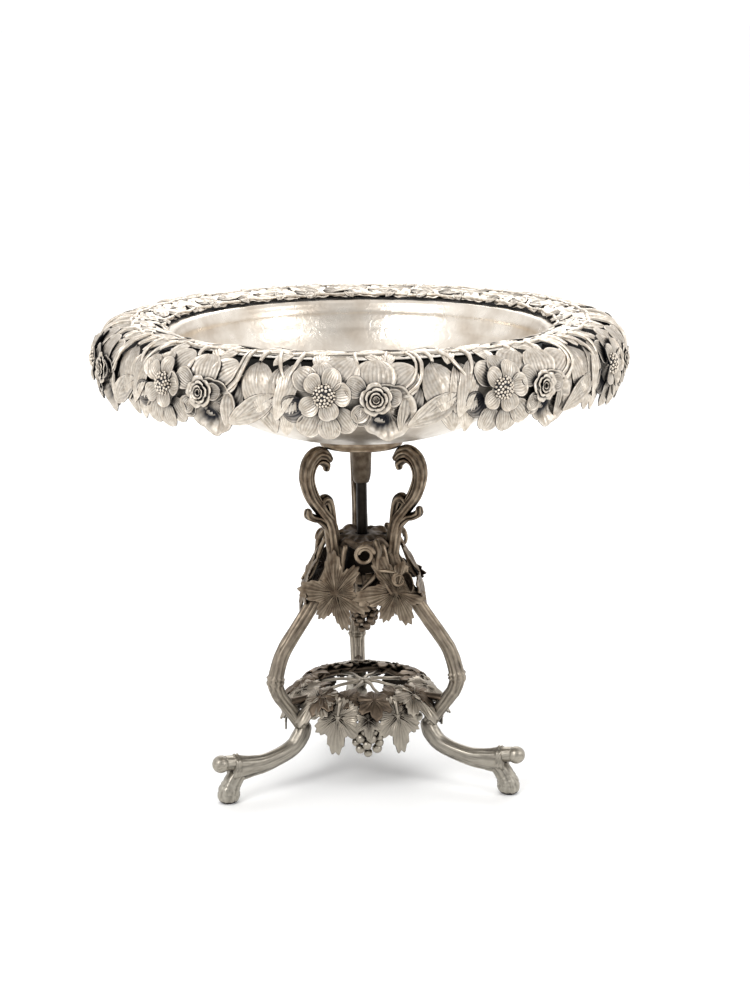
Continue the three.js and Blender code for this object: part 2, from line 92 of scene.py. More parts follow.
WREATH_MIDDLE = (corners("wreath_ring")[1].z + corners("wreath_ring")[0].z) / 2
LEG_ANGLES = [90, 210, 330]
SECTIONS = 10
SECTION_TURN = 360 / SECTIONS
FIRST_SECTION = 17
# The border's face stands this far inside its outermost petals.
FACE_RADIUS = RIM_RADIUS - 7
THREAD_PITCH = 1.25
# Radial room between the rod and what it runs through.
ROD_ROOM = 0.4


# ---------------------------------------------------------------- camera, light and floor
EYE_DISTANCE = 1.500
EYE_HEIGHT = 0.5808
EYE_AZIMUTH, EYE_YAW, EYE_PITCH, EYE_ROLL = (math.radians(a) for a in (-3.418, -0.379, 13.745, -0.446))
LENS = 73.98


def make_camera():
    """Stands in front, a little above the rim, and looks slightly down."""
    data = bpy.data.cameras.new("camera")
    data.lens = LENS
    data.sensor_width = 36
    camera = bpy.data.objects.new("camera", data)
    scene.collection.objects.link(camera)
    heading = EYE_AZIMUTH + EYE_YAW
    ahead = Vector((-math.sin(heading) * math.cos(EYE_PITCH),
                    math.cos(heading) * math.cos(EYE_PITCH),
                    -math.sin(EYE_PITCH)))
    right = ahead.cross(Vector((0, 0, 1))).normalized()
    up = right.cross(ahead)
    turned_right = right * math.cos(EYE_ROLL) + up * math.sin(EYE_ROLL)
    turned_up = up * math.cos(EYE_ROLL) - right * math.sin(EYE_ROLL)
    camera.matrix_world = Matrix((
        (turned_right.x, turned_up.x, -ahead.x, math.sin(EYE_AZIMUTH) * EYE_DISTANCE),
        (turned_right.y, turned_up.y, -ahead.y, -math.cos(EYE_AZIMUTH) * EYE_DISTANCE),
        (turned_right.z, turned_up.z, -ahead.z, EYE_HEIGHT),
        (0, 0, 0, 1),
    ))
    scene.camera = camera


def softbox(name, place, target, width, height, watts):
    """A rectangular light at a place in metres, turned to its target."""
    data = bpy.data.lights.new(name, "AREA")
    data.shape = "RECTANGLE"
    data.size = width
    data.size_y = height
    data.energy = watts
    light = bpy.data.objects.new(name, data)
    scene.collection.objects.link(light)
    light.location = place
    light.rotation_euler = (Vector(target) - Vector(place)).to_track_quat("-Z", "Y").to_euler()


def studio():
    """A white room, dimmer behind the camera than ahead of it."""
    world = bpy.data.worlds.new("studio")
    world.use_nodes = True
    tree = world.node_tree
    tree.nodes.clear()
    direction = add(tree, "ShaderNodeTexCoord").outputs["Generated"]
    along = add(tree, "ShaderNodeSeparateXYZ", {0: direction})
    light = add(tree, "ShaderNodeMapRange",
                {"Value": along.outputs["Y"], "From Min": -0.9, "From Max": -0.1,
                 "To Min": 0.66, "To Max": 1.16}, interpolation_type="SMOOTHSTEP")
    background = add(tree, "ShaderNodeBackground", {"Color": linear("#FEFEFF"), "Strength": light})
    add(tree, "ShaderNodeOutputWorld", {"Surface": background})
    return world


# ---------------------------------------------------------------- materials
def linear(hex_colour):
    """sRGB hex to the linear colour that a shader takes."""
    parts = [int(hex_colour[i:i + 2], 16) / 255 for i in (1, 3, 5)]
    return [c / 12.92 if c <= 0.04045 else ((c + 0.055) / 1.055) ** 2.4 for c in parts] + [1]


def add(tree, kind, values=(), **settings):
    """One node with its settings, and its inputs set to numbers or linked to other nodes' outputs."""
    node = tree.nodes.new(kind)
    for name, value in settings.items():
        setattr(node, name, value)
    for key, value in dict(values).items():
        if isinstance(value, bpy.types.Node):
            value = value.outputs[0]
        if isinstance(value, bpy.types.NodeSocket):
            tree.links.new(value, node.inputs[key])
        else:
            node.inputs[key].default_value = value
    return node


def metal(name, bright, worn, dark_colour, roughness, patina_mm, grain_mm, grain_depth_mm, recess_mm,
          recess=1.0, beaten_mm=9, beaten_depth_mm=0.0, low_colour=None, low_colour_below_mm=130):
    """Plated or patinated metal: bright on the high places, cloudy between, dark down in the recesses with
    painted shade and tarnishing.

    Recess is how black the painted shade of the occlusion node makes the hollows within recess_mm, and the
    colour given for the low parts is the lighter plain grey that the metal turns to towards the floor.
    """
    material = bpy.data.materials.new(name)
    material.use_nodes = True
    tree = material.node_tree
    tree.nodes.clear()
    place = add(tree, "ShaderNodeTexCoord").outputs["Object"]
    cloud = add(tree, "ShaderNodeTexNoise", {"Vector": place, "Scale": 1 / (patina_mm * MM), "Detail": 4})
    grain = add(tree, "ShaderNodeTexNoise", {"Vector": place, "Scale": 1 / (grain_mm * MM), "Detail": 3})
    patina = add(tree, "ShaderNodeMapRange", {"Value": cloud, "From Min": 0.35, "From Max": 0.68})
    face = add(tree, "ShaderNodeMix", {"Factor": patina, 6: linear(bright), 7: linear(worn)},
               data_type="RGBA")
    # The metal turns a lighter plain grey towards the floor.
    if low_colour:
        height = add(tree, "ShaderNodeSeparateXYZ", {0: place})
        low = add(tree, "ShaderNodeMapRange",
                  {"Value": height.outputs["Z"], "From Min": 0.0, "From Max": low_colour_below_mm * MM,
                   "To Min": 1.0, "To Max": 0.0})
        face = add(tree, "ShaderNodeMix", {"Factor": low, 6: face.outputs[2], 7: linear(low_colour)},
                   data_type="RGBA")
    # The occlusion node paints shade into the recesses: the less open a point is, the nearer its colour
    # comes to the dark one. The stored per-point number adds more painted shade and tarnishing.
    open_sky = add(tree, "ShaderNodeAmbientOcclusion", {"Distance": recess_mm * MM}, samples=8)
    soot = add(tree, "ShaderNodeMath", {0: cloud, 1: 0.25, 2: open_sky.outputs["AO"]},
               operation="MULTIPLY_ADD")
    hollow = add(tree, "ShaderNodeMapRange",
                 {"Value": soot, "From Min": 0.34, "From Max": 0.95, "To Min": recess, "To Max": 0},
                 interpolation_type="SMOOTHSTEP")
    left = add(tree, "ShaderNodeAttribute", attribute_name="soot")
    depth = add(tree, "ShaderNodeMath", {0: hollow, 1: left.outputs["Fac"]}, operation="ADD",
                use_clamp=True)
    colour = add(tree, "ShaderNodeMix", {"Factor": depth, 6: face.outputs[2], 7: linear(dark_colour)},
                 data_type="RGBA")
    dull = add(tree, "ShaderNodeMath", {0: depth, 1: 0.3, 2: roughness}, operation="MULTIPLY_ADD")
    cloudy = add(tree, "ShaderNodeMath", {0: patina, 1: 0.12, 2: dull}, operation="MULTIPLY_ADD")
    beaten = add(tree, "ShaderNodeTexNoise", {"Vector": place, "Scale": 1 / (beaten_mm * MM), "Detail": 5,
                                              "Distortion": 1.2})
    dents = add(tree, "ShaderNodeBump", {"Height": beaten, "Distance": beaten_depth_mm * MM,
                                         "Strength": 1.0})
    bump = add(tree, "ShaderNodeBump", {"Height": grain, "Distance": grain_depth_mm * MM, "Strength": 0.5,
                                        "Normal": dents})
    shader = add(tree, "ShaderNodeBsdfPrincipled",
                 {"Base Color": colour.outputs[2], "Metallic": 1.0, "Roughness": cloudy, "Normal": bump})
    add(tree, "ShaderNodeOutputMaterial", {"Surface": shader})
    return material


def floor_paint():
    """Matt white emulsion: pale, with no shine."""
    material = bpy.data.materials.new("matt_white_emulsion")
    material.use_nodes = True
    shader = material.node_tree.nodes["Principled BSDF"]
    shader.inputs["Base Color"].default_value = linear("#FBFBFA")
    shader.inputs["Roughness"].default_value = 0.9
    return material


# ---------------------------------------------------------------- geometry node trees
def node_tree(name, sockets):
    """A geometry tree with a geometry in and out and the named inputs given."""
    tree = bpy.data.node_groups.new(name, "GeometryNodeTree")
    tree.interface.new_socket("Geometry", in_out="INPUT", socket_type="NodeSocketGeometry")
    tree.interface.new_socket("Geometry", in_out="OUTPUT", socket_type="NodeSocketGeometry")
    for label, kind in sockets.items():
        tree.interface.new_socket(label, in_out="INPUT", socket_type="NodeSocket" + kind)
    return tree, tree.nodes.new("NodeGroupInput").outputs


def finish_tree(tree, geometry, material):
    """Ends a tree: real geometry, smooth faces, one material."""
    whole = add(tree, "GeometryNodeRealizeInstances", {"Geometry": geometry})
    smooth_faces = add(tree, "GeometryNodeSetShadeSmooth", {"Geometry": whole})
    painted = add(tree, "GeometryNodeSetMaterial", {"Geometry": smooth_faces, "Material": material})
    add(tree, "NodeGroupOutput", {0: painted})


def vine_tree():
    """Sweeps fluted vine along every line of points, by the sizes that the points carry."""
    tree, given = node_tree("vine", {"Sides": "Int", "Across": "Vector", "Bark depth": "Float",
                                     "Bark spacing": "Float", "Material": "Material"})
    path = add(tree, "GeometryNodeMeshToCurve", {"Mesh": given["Geometry"]})
    centre = add(tree, "GeometryNodeInputPosition")
    along = add(tree, "GeometryNodeInputTangent")
    kept = add(tree, "GeometryNodeCaptureAttribute", {"Geometry": path})
    for label, source in (("centre", centre), ("along", along)):
        item = kept.capture_items.new("VECTOR", label)
        tree.links.new(source.outputs[0], kept.inputs[item.name])
    ring = add(tree, "GeometryNodeCurvePrimitiveCircle", {"Resolution": given["Sides"], "Radius": 1.0})
    turn = add(tree, "GeometryNodeSplineParameter")
    section = add(tree, "GeometryNodeCaptureAttribute", {"Geometry": ring.outputs["Curve"]})
    item = section.capture_items.new("FLOAT", "round")
    tree.links.new(turn.outputs["Factor"], section.inputs[item.name])
    tube = add(tree, "GeometryNodeCurveToMesh",
               {"Curve": kept.outputs["Geometry"], "Profile Curve": section.outputs["Geometry"],
                "Fill Caps": True})
    angle = add(tree, "ShaderNodeMath", {0: section.outputs["round"], 1: math.tau}, operation="MULTIPLY")
    sizes = {label: add(tree, "GeometryNodeInputNamedAttribute", {"Name": label}, data_type="FLOAT")
             for label in ("width", "depth", "flutes", "groove")}
    wave = add(tree, "ShaderNodeMath", {0: angle, 1: sizes["flutes"]}, operation="MULTIPLY")
    crest = add(tree, "ShaderNodeMath", {0: wave}, operation="COSINE")
    flute = add(tree, "ShaderNodeMath", {0: crest, 1: sizes["groove"], 2: 1.0}, operation="MULTIPLY_ADD")
    cosine = add(tree, "ShaderNodeMath", {0: angle}, operation="COSINE")
    sine = add(tree, "ShaderNodeMath", {0: angle}, operation="SINE")
    in_plane = add(tree, "ShaderNodeVectorMath", {0: kept.outputs["along"], 1: given["Across"]},
                   operation="CROSS_PRODUCT")
    in_plane = add(tree, "ShaderNodeVectorMath", {0: in_plane}, operation="NORMALIZE")
    square = add(tree, "ShaderNodeVectorMath", {0: in_plane, 1: kept.outputs["along"]},
                 operation="CROSS_PRODUCT")
    arms = []
    for direction, share, label in ((in_plane, cosine, "width"), (square, sine, "depth")):
        length = add(tree, "ShaderNodeMath", {0: share, 1: sizes[label]}, operation="MULTIPLY")
        fluted = add(tree, "ShaderNodeMath", {0: length, 1: flute}, operation="MULTIPLY")
        arms.append(add(tree, "ShaderNodeVectorMath", {0: direction, "Scale": fluted}, operation="SCALE"))
    arm = add(tree, "ShaderNodeVectorMath", {0: arms[0], 1: arms[1]}, operation="ADD")
    surface = add(tree, "ShaderNodeVectorMath", {0: arm, 1: kept.outputs["centre"]}, operation="ADD")
    swept = add(tree, "GeometryNodeSetPosition", {"Geometry": tube, "Position": surface})
    # Bark runs along the branch: the noise is read from the section, with the place along it pressed flat.
    flat = add(tree, "ShaderNodeVectorMath", {0: kept.outputs["centre"], "Scale": 0.06}, operation="SCALE")
    seen = add(tree, "ShaderNodeVectorMath", {0: flat, 1: arm}, operation="ADD")
    fine = add(tree, "ShaderNodeMath", {0: 1.0, 1: given["Bark spacing"]}, operation="DIVIDE")
    bark = add(tree, "ShaderNodeTexNoise", {"Vector": seen, "Scale": fine, "Detail": 3.0})
    swing = add(tree, "ShaderNodeMath", {0: bark, 1: 0.5}, operation="SUBTRACT")
    lift = add(tree, "ShaderNodeMath", {0: swing, 1: given["Bark depth"]}, operation="MULTIPLY")
    outwards = add(tree, "ShaderNodeVectorMath", {0: arm}, operation="NORMALIZE")
    offset = add(tree, "ShaderNodeVectorMath", {0: outwards, "Scale": lift}, operation="SCALE")
    rough = add(tree, "GeometryNodeSetPosition", {"Geometry": swept, "Offset": offset})
    # Painted shade and tarnishing lie in the grooves and the dips of the bark: how dark they get goes with
    # the surface.
    valley = add(tree, "ShaderNodeMath", {0: 1.0, 1: crest}, operation="SUBTRACT")
    grooved = add(tree, "ShaderNodeMath", {0: valley, 1: sizes["groove"]}, operation="MULTIPLY")
    in_bark = add(tree, "ShaderNodeMath", {0: swing, 1: -2.1}, operation="MULTIPLY")
    soot = add(tree, "ShaderNodeMath", {0: grooved, 1: 3.6, 2: in_bark}, operation="MULTIPLY_ADD",
               use_clamp=True)
    darkened_tube = add(tree, "GeometryNodeStoreNamedAttribute", {"Geometry": rough, "Name": "soot", "Value": soot},
                data_type="FLOAT", domain="POINT")
    finish_tree(tree, darkened_tube, given["Material"])
    return tree


def berry_tree():
    """Sets a berry on every point, by the size that the point carries."""
    tree, given = node_tree("berries", {"Size spread": "Float", "Seed": "Int", "Material": "Material"})
    berry = add(tree, "GeometryNodeMeshIcoSphere", {"Radius": 1.0, "Subdivisions": 3})
    size = add(tree, "GeometryNodeInputNamedAttribute", {"Name": "width"}, data_type="FLOAT")
    low = add(tree, "ShaderNodeMath", {0: 1.0, 1: given["Size spread"]}, operation="SUBTRACT")
    chance = add(tree, "FunctionNodeRandomValue", {2: low, 3: 1.0, "Seed": given["Seed"]},
                 data_type="FLOAT")
    scale = add(tree, "ShaderNodeMath", {0: size, 1: chance.outputs[1]}, operation="MULTIPLY")
    dots = add(tree, "GeometryNodeMeshToPoints", {"Mesh": given["Geometry"]})
    bunch = add(tree, "GeometryNodeInstanceOnPoints", {"Points": dots, "Instance": berry.outputs["Mesh"],
                                                       "Scale": scale})
    finish_tree(tree, bunch, given["Material"])
    return tree


def rim_tree():
    """Bends a flat casting round the rim's roll, and sets stamens on the domes that it is given."""
    tree, given = node_tree("rim_casting", {
        "Roll": "Object", "Domes": "Object", "Bead size": "Float", "Bead spacing": "Float",
        "Face radius": "Float", "Face length": "Float", "Turn": "Float", "Unevenness": "Float",
        "Seed": "Int", "Material": "Material"})
    domes = add(tree, "GeometryNodeObjectInfo", {"Object": given["Domes"]}).outputs["Geometry"]
    places = add(tree, "GeometryNodeDistributePointsOnFaces",
                 {"Mesh": domes, "Distance Min": given["Bead spacing"], "Density Max": 2.5e6, "Seed": 7},
                 distribute_method="POISSON")
    bead = add(tree, "GeometryNodeMeshIcoSphere", {"Radius": given["Bead size"], "Subdivisions": 2})
    beads = add(tree, "GeometryNodeInstanceOnPoints",
                {"Points": places.outputs["Points"], "Instance": bead.outputs["Mesh"]})
    real = add(tree, "GeometryNodeRealizeInstances", {"Geometry": beads})
    real = add(tree, "GeometryNodeStoreNamedAttribute", {"Geometry": real, "Name": "soot", "Value": 0.0},
               data_type="FLOAT", domain="POINT")
    flat = add(tree, "GeometryNodeJoinGeometry")
    for part in (given["Geometry"], domes, real.outputs[0]):
        tree.links.new(part, flat.inputs[0])
    # The small unevenness of hand work, different in every section.
    where = add(tree, "GeometryNodeInputPosition")
    drift = add(tree, "ShaderNodeTexNoise", {"Vector": where, "W": given["Seed"], "Scale": 60.0},
                noise_dimensions="4D")
    centred = add(tree, "ShaderNodeVectorMath", {0: drift.outputs["Color"], 1: (0.5, 0.5, 0.5)},
                  operation="SUBTRACT")
    shove = add(tree, "ShaderNodeVectorMath", {0: centred, "Scale": given["Unevenness"]},
                operation="SCALE")
    worked = add(tree, "GeometryNodeSetPosition", {"Geometry": flat, "Offset": shove})
    apart = add(tree, "ShaderNodeSeparateXYZ", {0: where})
    down = add(tree, "ShaderNodeMath", {0: given["Face length"], 1: apart.outputs["Y"]},
               operation="SUBTRACT")
    roll = add(tree, "GeometryNodeObjectInfo", {"Object": given["Roll"]}).outputs["Geometry"]
    curve = add(tree, "GeometryNodeMeshToCurve", {"Mesh": roll})
    sample = add(tree, "GeometryNodeSampleCurve", {"Curves": curve, "Length": down}, mode="LENGTH")
    outward = add(tree, "ShaderNodeVectorMath", {0: sample.outputs["Tangent"], 1: (0, 1, 0)},
                  operation="CROSS_PRODUCT")
    raised = add(tree, "ShaderNodeVectorMath", {0: outward, "Scale": apart.outputs["Z"]}, operation="SCALE")
    point = add(tree, "ShaderNodeVectorMath", {0: sample.outputs["Position"], 1: raised}, operation="ADD")
    round_by = add(tree, "ShaderNodeMath", {0: apart.outputs["X"], 1: given["Face radius"]},
                   operation="DIVIDE")
    angle = add(tree, "ShaderNodeMath", {0: round_by, 1: given["Turn"]}, operation="ADD")
    turned_point = add(tree, "ShaderNodeVectorRotate", {"Vector": point, "Angle": angle},
                       rotation_type="Z_AXIS")
    bent = add(tree, "GeometryNodeSetPosition", {"Geometry": worked, "Position": turned_point})
    finish_tree(tree, bent, given["Material"])
    return tree


def worked(source, tree, values):
    """The mesh that a tree makes of an object, with the modifier taken off again."""
    modifier = source.modifiers.new(tree.name, "NODES")
    modifier.node_group = tree
    for item in tree.interface.items_tree:
        if item.name in values:
            modifier[item.identifier] = values[item.name]
    depsgraph = bpy.context.evaluated_depsgraph_get()
    mesh = bpy.data.meshes.new_from_object(source.evaluated_get(depsgraph), depsgraph=depsgraph)
    source.modifiers.remove(modifier)
    return mesh


# ---------------------------------------------------------------- shapes in mm
def smooth(rows, step):
    """Rows of numbers joined by a Catmull-Rom line through every one, with points about a step apart."""
    rows = np.array(rows, float)
    padded = np.vstack([2 * rows[0] - rows[1], rows, 2 * rows[-1] - rows[-2]])
    out = []
    for i in range(1, len(padded) - 2):
        a, b, c, d = padded[i - 1:i + 3]
        count = max(2, round(np.linalg.norm((c - b)[:3]) / step))
        for t in np.arange(count) / count:
            out.append(0.5 * (2 * b + (c - a) * t + (2 * a - 5 * b + 4 * c - d) * t ** 2
                              + (3 * b - a - 3 * c + d) * t ** 3))
    return np.array(out + [rows[-1]])


def about_z(points, degrees):
    """Points turned about the bowl's axis."""
    turn = math.radians(degrees)
    spin = np.array([[math.cos(turn), -math.sin(turn), 0], [math.sin(turn), math.cos(turn), 0], [0, 0, 1]])
    return np.asarray(points) @ spin.T


def grid_faces(rows, cols, ring):
    """Four-sided faces between the rows and columns of a grid, closed sideways for a ring."""
    index = np.arange(rows * cols).reshape(rows, cols)
    across = np.concatenate([index, index[:, :1]], 1) if ring else index
    return np.stack([across[:-1, :-1], across[:-1, 1:], across[1:, 1:], across[1:, :-1]], -1).reshape(-1, 4)


def normals(grid, ring):
    """The way that each point of a grid faces."""
    along = np.gradient(grid, axis=0)
    around = np.roll(grid, -1, 1) - np.roll(grid, 1, 1) if ring else np.gradient(grid, axis=1)
    normal = np.cross(along, around)
    length = np.linalg.norm(normal, axis=2, keepdims=True)
    normal = np.where(length > 1e-6, normal / np.maximum(length, 1e-6), 0)
    normal[0] = np.where(length[0] > 1e-6, normal[0], normal[1].mean(0))
    normal[-1] = np.where(length[-1] > 1e-6, normal[-1], normal[-2])
    return normal


class Casting:
    """Closed bodies of one piece, gathered in mm."""

    def __init__(self):
        self.points = []
        # How dark each point is painted, as shade and tarnishing.
        self.soot = []
        self.faces = []
        self.count = 0
        self.lines = []

    def body(self, points, faces, soot=0.0):
        self.points.append(np.asarray(points, float))
        self.soot.append(np.broadcast_to(np.asarray(soot, np.float32), len(points)))
        self.faces += [[int(i) + self.count for i in face] for face in faces]
        self.count += len(points)

    def plate(self, grid, thick, ring=False, soot=0.0):
        """A sheet of metal from a grid of points: its front, its back painted near black as shade, and its
        edge closed.
        """
        rows, cols = grid.shape[:2]
        back = grid - normals(grid, ring) * thick
        front_faces = grid_faces(rows, cols, ring)
        back_faces = front_faces[:, ::-1] + rows * cols
        index = np.arange(rows * cols).reshape(rows, cols)
        if ring:
            edges = [index[-1]] if np.ptp(grid[0], axis=0).max() < 1e-6 else [index[0][::-1], index[-1]]
            edges = [np.append(edge, edge[0]) for edge in edges]
        else:
            edges = [np.concatenate([index[0], index[1:, -1], index[-1, -2::-1], index[-2::-1, 0]])[::-1]]
        sides = []
        for edge in edges:
            sides += [[edge[i], edge[i + 1], edge[i + 1] + rows * cols, edge[i] + rows * cols]
                      for i in range(len(edge) - 1)]
        # The back of every sheet is painted near black, as the shade it lies in.
        self.body(np.vstack([grid.reshape(-1, 3), back.reshape(-1, 3)]),
                  [*front_faces.tolist(), *back_faces.tolist(), *sides],
                  np.concatenate([np.broadcast_to(soot, (rows, cols)).ravel(), np.full(rows * cols, 0.95)]))

    def turned(self, profile, segments, wave=None):
        """A round piece about Z from a closed outline of [radius, height]."""
        profile = np.array(profile, float)
        angles = np.arange(segments) * math.tau / segments
        radius, height = profile[:, :1], profile[:, 1:2]
        grid = np.stack([radius * np.cos(angles), radius * np.sin(angles), height + 0 * angles], -1)
        if wave is not None:
            grid = wave(grid, angles)
        closed = np.concatenate([grid, grid[:1]], 0)
        self.body(closed.reshape(-1, 3), grid_faces(len(profile) + 1, segments, True).tolist())

    def line(self, rows, flutes=0, groove=0.0, cyclic=False):
        """A line that a vine grows along: rows of x, y, z, half width in its plane, half width across."""
        self.lines.append((np.asarray(rows, float), flutes, groove, cyclic))

    def grow(self, sides, across=(0, 1, 0), bark=0.0, bark_spacing=2.0):
        """Turns the lines gathered so far into solid vine."""
        points, edges, flutes, grooves = [], [], [], []
        for rows, count, groove, cyclic in self.lines:
            start = len(points)
            points += list(rows)
            edges += [(start + i, start + i + 1) for i in range(len(rows) - 1)]
            if cyclic:
                edges.append((start + len(rows) - 1, start))
            flutes += [count] * len(rows)
            grooves += list(np.broadcast_to(groove, len(rows)))
        self.lines = []
        points = np.array(points)
        source = mesh_object("lines", points[:, :3] * MM, edges, [])
        for label, values in (("width", points[:, 3] * MM), ("depth", points[:, 4] * MM),
                              ("flutes", flutes), ("groove", grooves)):
            store(source, label, values)
        self.take(worked(source, VINE, {"Sides": sides, "Across": across, "Bark depth": bark * MM,
                                        "Bark spacing": bark_spacing * MM}))
        bpy.data.objects.remove(source)

    def berries(self, rows, seed):
        """Berries at rows of x, y, z, radius."""
        rows = np.array(rows, float)
        source = mesh_object("lines", rows[:, :3] * MM, [], [])
        store(source, "width", rows[:, 3] * MM)
        self.take(worked(source, BERRIES, {"Size spread": 0.14, "Seed": seed}))
        bpy.data.objects.remove(source)

    def take(self, mesh):
        """Adds a mesh that a tree has made, with the painted shade and tarnishing that it carries."""
        points = np.zeros(len(mesh.vertices) * 3)
        mesh.vertices.foreach_get("co", points)
        soot = np.zeros(len(mesh.vertices), np.float32)
        if "soot" in mesh.attributes:
            mesh.attributes["soot"].data.foreach_get("value", soot)
        self.body(points.reshape(-1, 3) / MM, [list(face.vertices) for face in mesh.polygons], soot)
        bpy.data.meshes.remove(mesh)

    def object(self, name, turn=0):
        """Everything gathered, as one object turned about the bowl's axis."""
        points = about_z(np.vstack(self.points), turn) * MM
        piece = mesh_object(name, points, [], self.faces)
        store(piece, "soot", np.concatenate(self.soot))
        return piece


def store(piece, label, values):
    """Writes one number for every point of a mesh."""
    attribute = piece.data.attributes.new(label, "FLOAT", "POINT")
    attribute.data.foreach_set("value", np.array(values, np.float32))


def mesh_object(name, points, edges, faces):
    """An object in the scene from points in metres."""
    mesh = bpy.data.meshes.new(name)
    mesh.from_pydata(np.asarray(points).tolist(), edges, faces)
    piece = bpy.data.objects.new(name, mesh)
    scene.collection.objects.link(piece)
    return piece


MERGE_DISTANCE = 0.02 * MM


def clean(piece):
    """Merges doubled points and turns every face of the closed bodies outwards."""
    shape = bmesh.new()
    shape.from_mesh(piece.data)
    bmesh.ops.remove_doubles(shape, verts=shape.verts, dist=MERGE_DISTANCE)
    bmesh.ops.dissolve_degenerate(shape, edges=shape.edges, dist=MERGE_DISTANCE / 10)
    bmesh.ops.recalc_face_normals(shape, faces=shape.faces)
    for face in shape.faces:
        face.smooth = True
    shape.to_mesh(piece.data)
    shape.free()


def place(piece, body, slot, material, *nodes):
    """Finishes a piece: clean, painted, riding on its body and standing for its CAD nodes."""
    clean(piece)
    piece.data.materials.clear()
    piece.data.materials.append(material)
    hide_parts(*nodes)
    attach(piece, body)


# ---------------------------------------------------------------- flat relief of the border
# x runs right, y up and z towards the eye, in mm, from the widest place of the rim's face.
def leaf_grid(at, turn, length, width, lift, slope=0, cup=0, tip=0, rim=0, veins=0, vein=0,
              rib=0, blunt=0.55, widest=1.3, rows=16, cols=17, fan=0.0):
    """A petal or leaf from its foot, and the painted shade and tarnishing on it: darkest at its foot, then
    in the vein valleys and a cup. Cup lifts the sides, tip the end, rim the edge.

    Fan opens the veins from the foot instead of running them from the rib.
    """
    along = np.sin(np.linspace(0, 1, rows) * math.pi / 2)[:, None]
    aside = np.linspace(-1, 1, cols)[None, :]
    share = np.sin(math.pi * np.clip(along, 0.004, 0.996) ** widest) ** blunt
    x = along * length + 0 * aside
    y = aside * width / 2 * share
    comb = np.cos(vein * math.pi * (aside + (1 - fan) * 0.9 * along * np.sign(aside)))
    edge = np.exp(-((1 - np.abs(aside)) / 0.13) ** 2)
    end = np.exp(-((1 - along) / 0.10) ** 2)
    z = (lift + slope * along + cup * aside ** 2 * share + tip * along ** 4
         + rim * np.maximum(edge * share, end)
         + rib * np.exp(-(aside / 0.13) ** 2) * (1 - along) + veins * comb * share * (1 - edge))
    # Painted shade and tarnishing: dark at the foot, in the vein valleys and inside a cup.
    soot = (0.55 * (1 - along) ** 3 + 0.30 * (0.5 - 0.5 * comb) * share * (1 - edge) * (veins > 0)
            + 0.12 * (1 - edge) * (cup > 0))
    angle = math.radians(turn)
    grid = np.stack([at[0] + x * math.cos(angle) - y * math.sin(angle),
                     at[1] + x * math.sin(angle) + y * math.cos(angle), z], -1)
    return grid, soot


def petals(casting, flower, rows, veins, vein):
    """Petals round a flower: rows of middle x, y, length, width, lift, slope, cup, tip, extra painted
    shade.
    """
    for x, y, length, width, lift, slope, cup, tip, dark in rows:
        away = math.atan2(y - flower[1], x - flower[0])
        foot = x - math.cos(away) * length / 2, y - math.sin(away) * length / 2
        grid, soot = leaf_grid(foot, math.degrees(away), length, width, lift, slope, cup, tip, rim=0.6,
                               veins=veins, vein=vein, blunt=0.46, widest=1.12, rows=12, cols=33, fan=1.0)
        casting.plate(grid, 0.9, soot=np.clip(soot + dark, 0, 1))


BEAD_FLOWER = (-31.8, 2.0)
DOME_RADIUS = 7.4
BEAD_RADIUS = 1.0
BEAD_SPACING = 1.95
# middle x, y, length, width, lift, slope, cup, tip, extra painted shade
BEAD_PETALS = [
    (-42.0, -17.0, 17, 16, 0.0, 1.8, 1.8, 0.4, 0.0), (-29.0, -18.5, 17, 15, 0.4, 2.0, 1.8, 0.2, 0.0),
    # The second petal on this line is painted dark, as the shadow that it lies in.
    (-18.5, -13.5, 18, 15, 0.0, 2.2, 1.8, 0.4, 0.0), (-52.0, -6.5, 15, 17, -1.2, 1.6, 3.0, 0.8, 0.55),
    (-8.0, -11.0, 12, 12, 0.8, 1.4, 1.8, 0.2, 0.1), (-20.5, 17.5, 24, 24, -0.2, 1.8, 1.4, 0.0, 0.0),
    (-44.0, 12.0, 17, 16, -0.2, 1.6, 1.8, 0.2, 0.1), (-34.0, 15.5, 17, 15, 0.2, 1.6, 1.6, 0.2, 0.1),
    (-20.5, 3.0, 12, 14, 2.0, 1.8, 2.0, 0.4, 0.0), (-28.8, -6.8, 11, 13, 2.2, 1.6, 2.0, 0.4, 0.0),
    (-41.0, -4.0, 12, 12, 1.8, 1.8, 2.0, 0.4, 0.0), (-27.0, 11.5, 12, 13, 2.0, 1.6, 2.0, 0.4, 0.0),
    (-39.0, 9.0, 11, 11, 1.8, 1.4, 2.0, 0.4, 0.0),
]
ROSE = (1.5, 0.0)
ROSE_PETALS = [
    (1.4, 13.5, 26, 27, 0.0, 1.8, 1.2, 0.0, 0.0), (18.0, 11.5, 25, 25, -0.2, 1.6, 1.2, 0.0, 0.0),
    (-11.0, 7.0, 14, 13, 1.2, 1.6, 1.8, 0.2, 0.1), (-8.5, -8.5, 12, 11, 1.6, 1.4, 1.8, 0.2, 0.1),
    (12.0, 1.0, 12, 11, 2.0, 1.2, 1.8, 0.2, 0.2),
]


